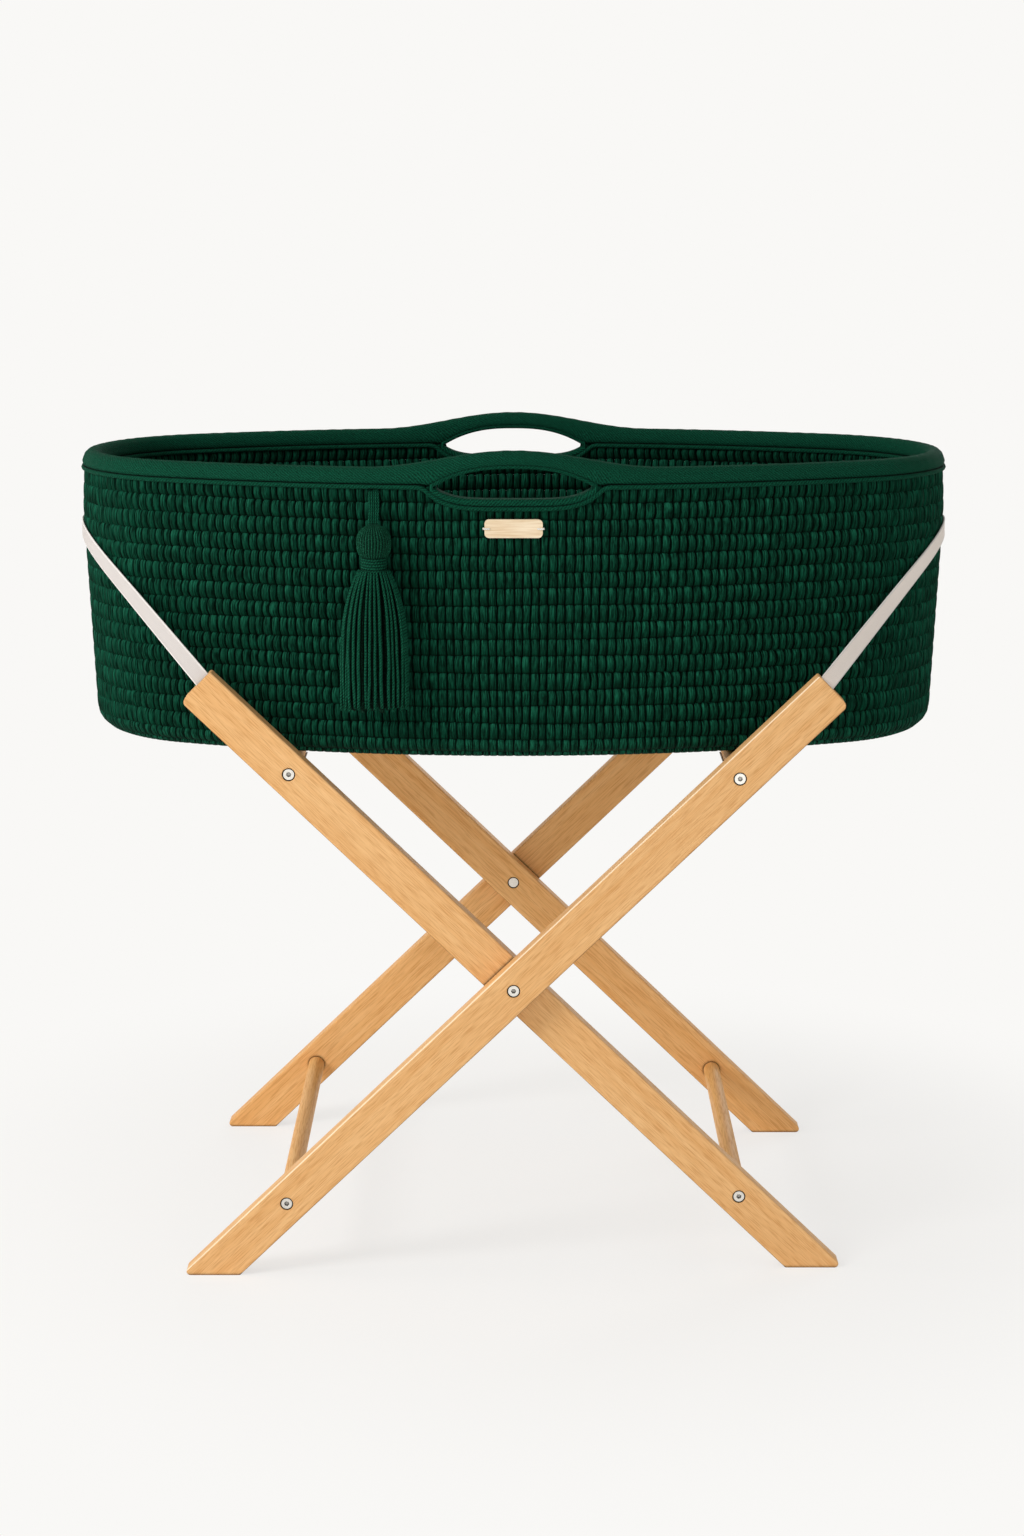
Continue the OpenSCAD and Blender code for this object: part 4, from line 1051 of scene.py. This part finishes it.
def studio_floor():
    """Pale matt paper that keeps the shadow near the stand and fades into the backdrop's own colour."""
    made, tree, spot = start("pale_backdrop_paper", "Object", Base_Color=linear("#FAF9F7"), Roughness=0.9,
                             Specular_IOR_Level=0.1)
    reach = add(tree, "VectorMath", {0: spot}, operation="LENGTH", out="Value")
    fade = add(tree, "MapRange", {"Value": reach, "From Min": FADE_NEAR, "From Max": FADE_FAR},
               interpolation_type="SMOOTHSTEP")
    seen = seen_plain(tree)
    calm = add(tree, "MapRange", {"Value": fade, "To Min": FLOOR_CALM})
    share = add(tree, "Math", {0: calm, 1: seen}, operation="MULTIPLY")
    plain = add(tree, "Emission", {"Color": BACKDROP})
    paper = tree.nodes["Principled BSDF"].outputs[0]
    both = add(tree, "MixShader", {0: share, 1: paper, 2: plain})
    tree.links.new(both, tree.nodes["Material Output"].inputs["Surface"])
    return made


bm = bmesh.new()
bmesh.ops.create_circle(bm, cap_ends=True, segments=96, radius=FLOOR_R)
floor_mesh = bpy.data.meshes.new("studio_floor")
bm.to_mesh(floor_mesh)
bm.free()
floor_mesh.materials.append(studio_floor())
floor = bpy.data.objects.new("studio_floor", floor_mesh)
bpy.context.scene.collection.objects.link(floor)

world = bpy.data.worlds.new("studio")
bpy.context.scene.world = world
world.use_nodes = True
tree = world.node_tree
glow = tree.nodes["Background"]
glow.inputs["Color"].default_value = linear("#FBFAF8")
glow.inputs["Strength"].default_value = WORLD_GLOW
plain = add(tree, "Background", {"Color": BACKDROP})
both = add(tree, "MixShader", {0: seen_plain(tree), 1: glow.outputs[0], 2: plain})
tree.links.new(both, tree.nodes["World Output"].inputs["Surface"])


def soft_light(name, place, aim, size, power):
    """A round area light, by its place and aim and its size across in metres, and its power in watts."""
    lamp = bpy.data.lights.new(name, "AREA")
    lamp.shape = "DISK"
    lamp.size = size
    lamp.energy = power
    thing = bpy.data.objects.new(name, lamp)
    thing.location = place
    thing.rotation_euler = (Vector(aim) - Vector(place)).to_track_quat("-Z", "Y").to_euler()
    bpy.context.scene.collection.objects.link(thing)


soft_light("key", (-2.1, -1.5, 1.8), (-0.1, 0, 0.45), 1.1, 44)
soft_light("fill", (0.4, -3.2, 0.4), (0, 0, 0.15), 1.6, 17.8)
soft_light("side", (-2.6, -0.2, 0.9), (-0.35, 0, 0.6), 1.0, 13)
soft_light("back", (1.3, 2.9, 1.5), (0, 0, 0.5), 1.6, 18)

lens = bpy.data.cameras.new("camera")
lens.lens = LENS_MM
lens.sensor_width = SENSOR_MM
camera = bpy.data.objects.new("camera", lens)
camera.location = CAMERA_PLACE
camera.rotation_euler = (math.radians(90 - CAMERA_DIP), 0, 0)
bpy.context.scene.collection.objects.link(camera)
bpy.context.scene.camera = camera
bpy.context.scene.view_settings.view_transform = "Standard"
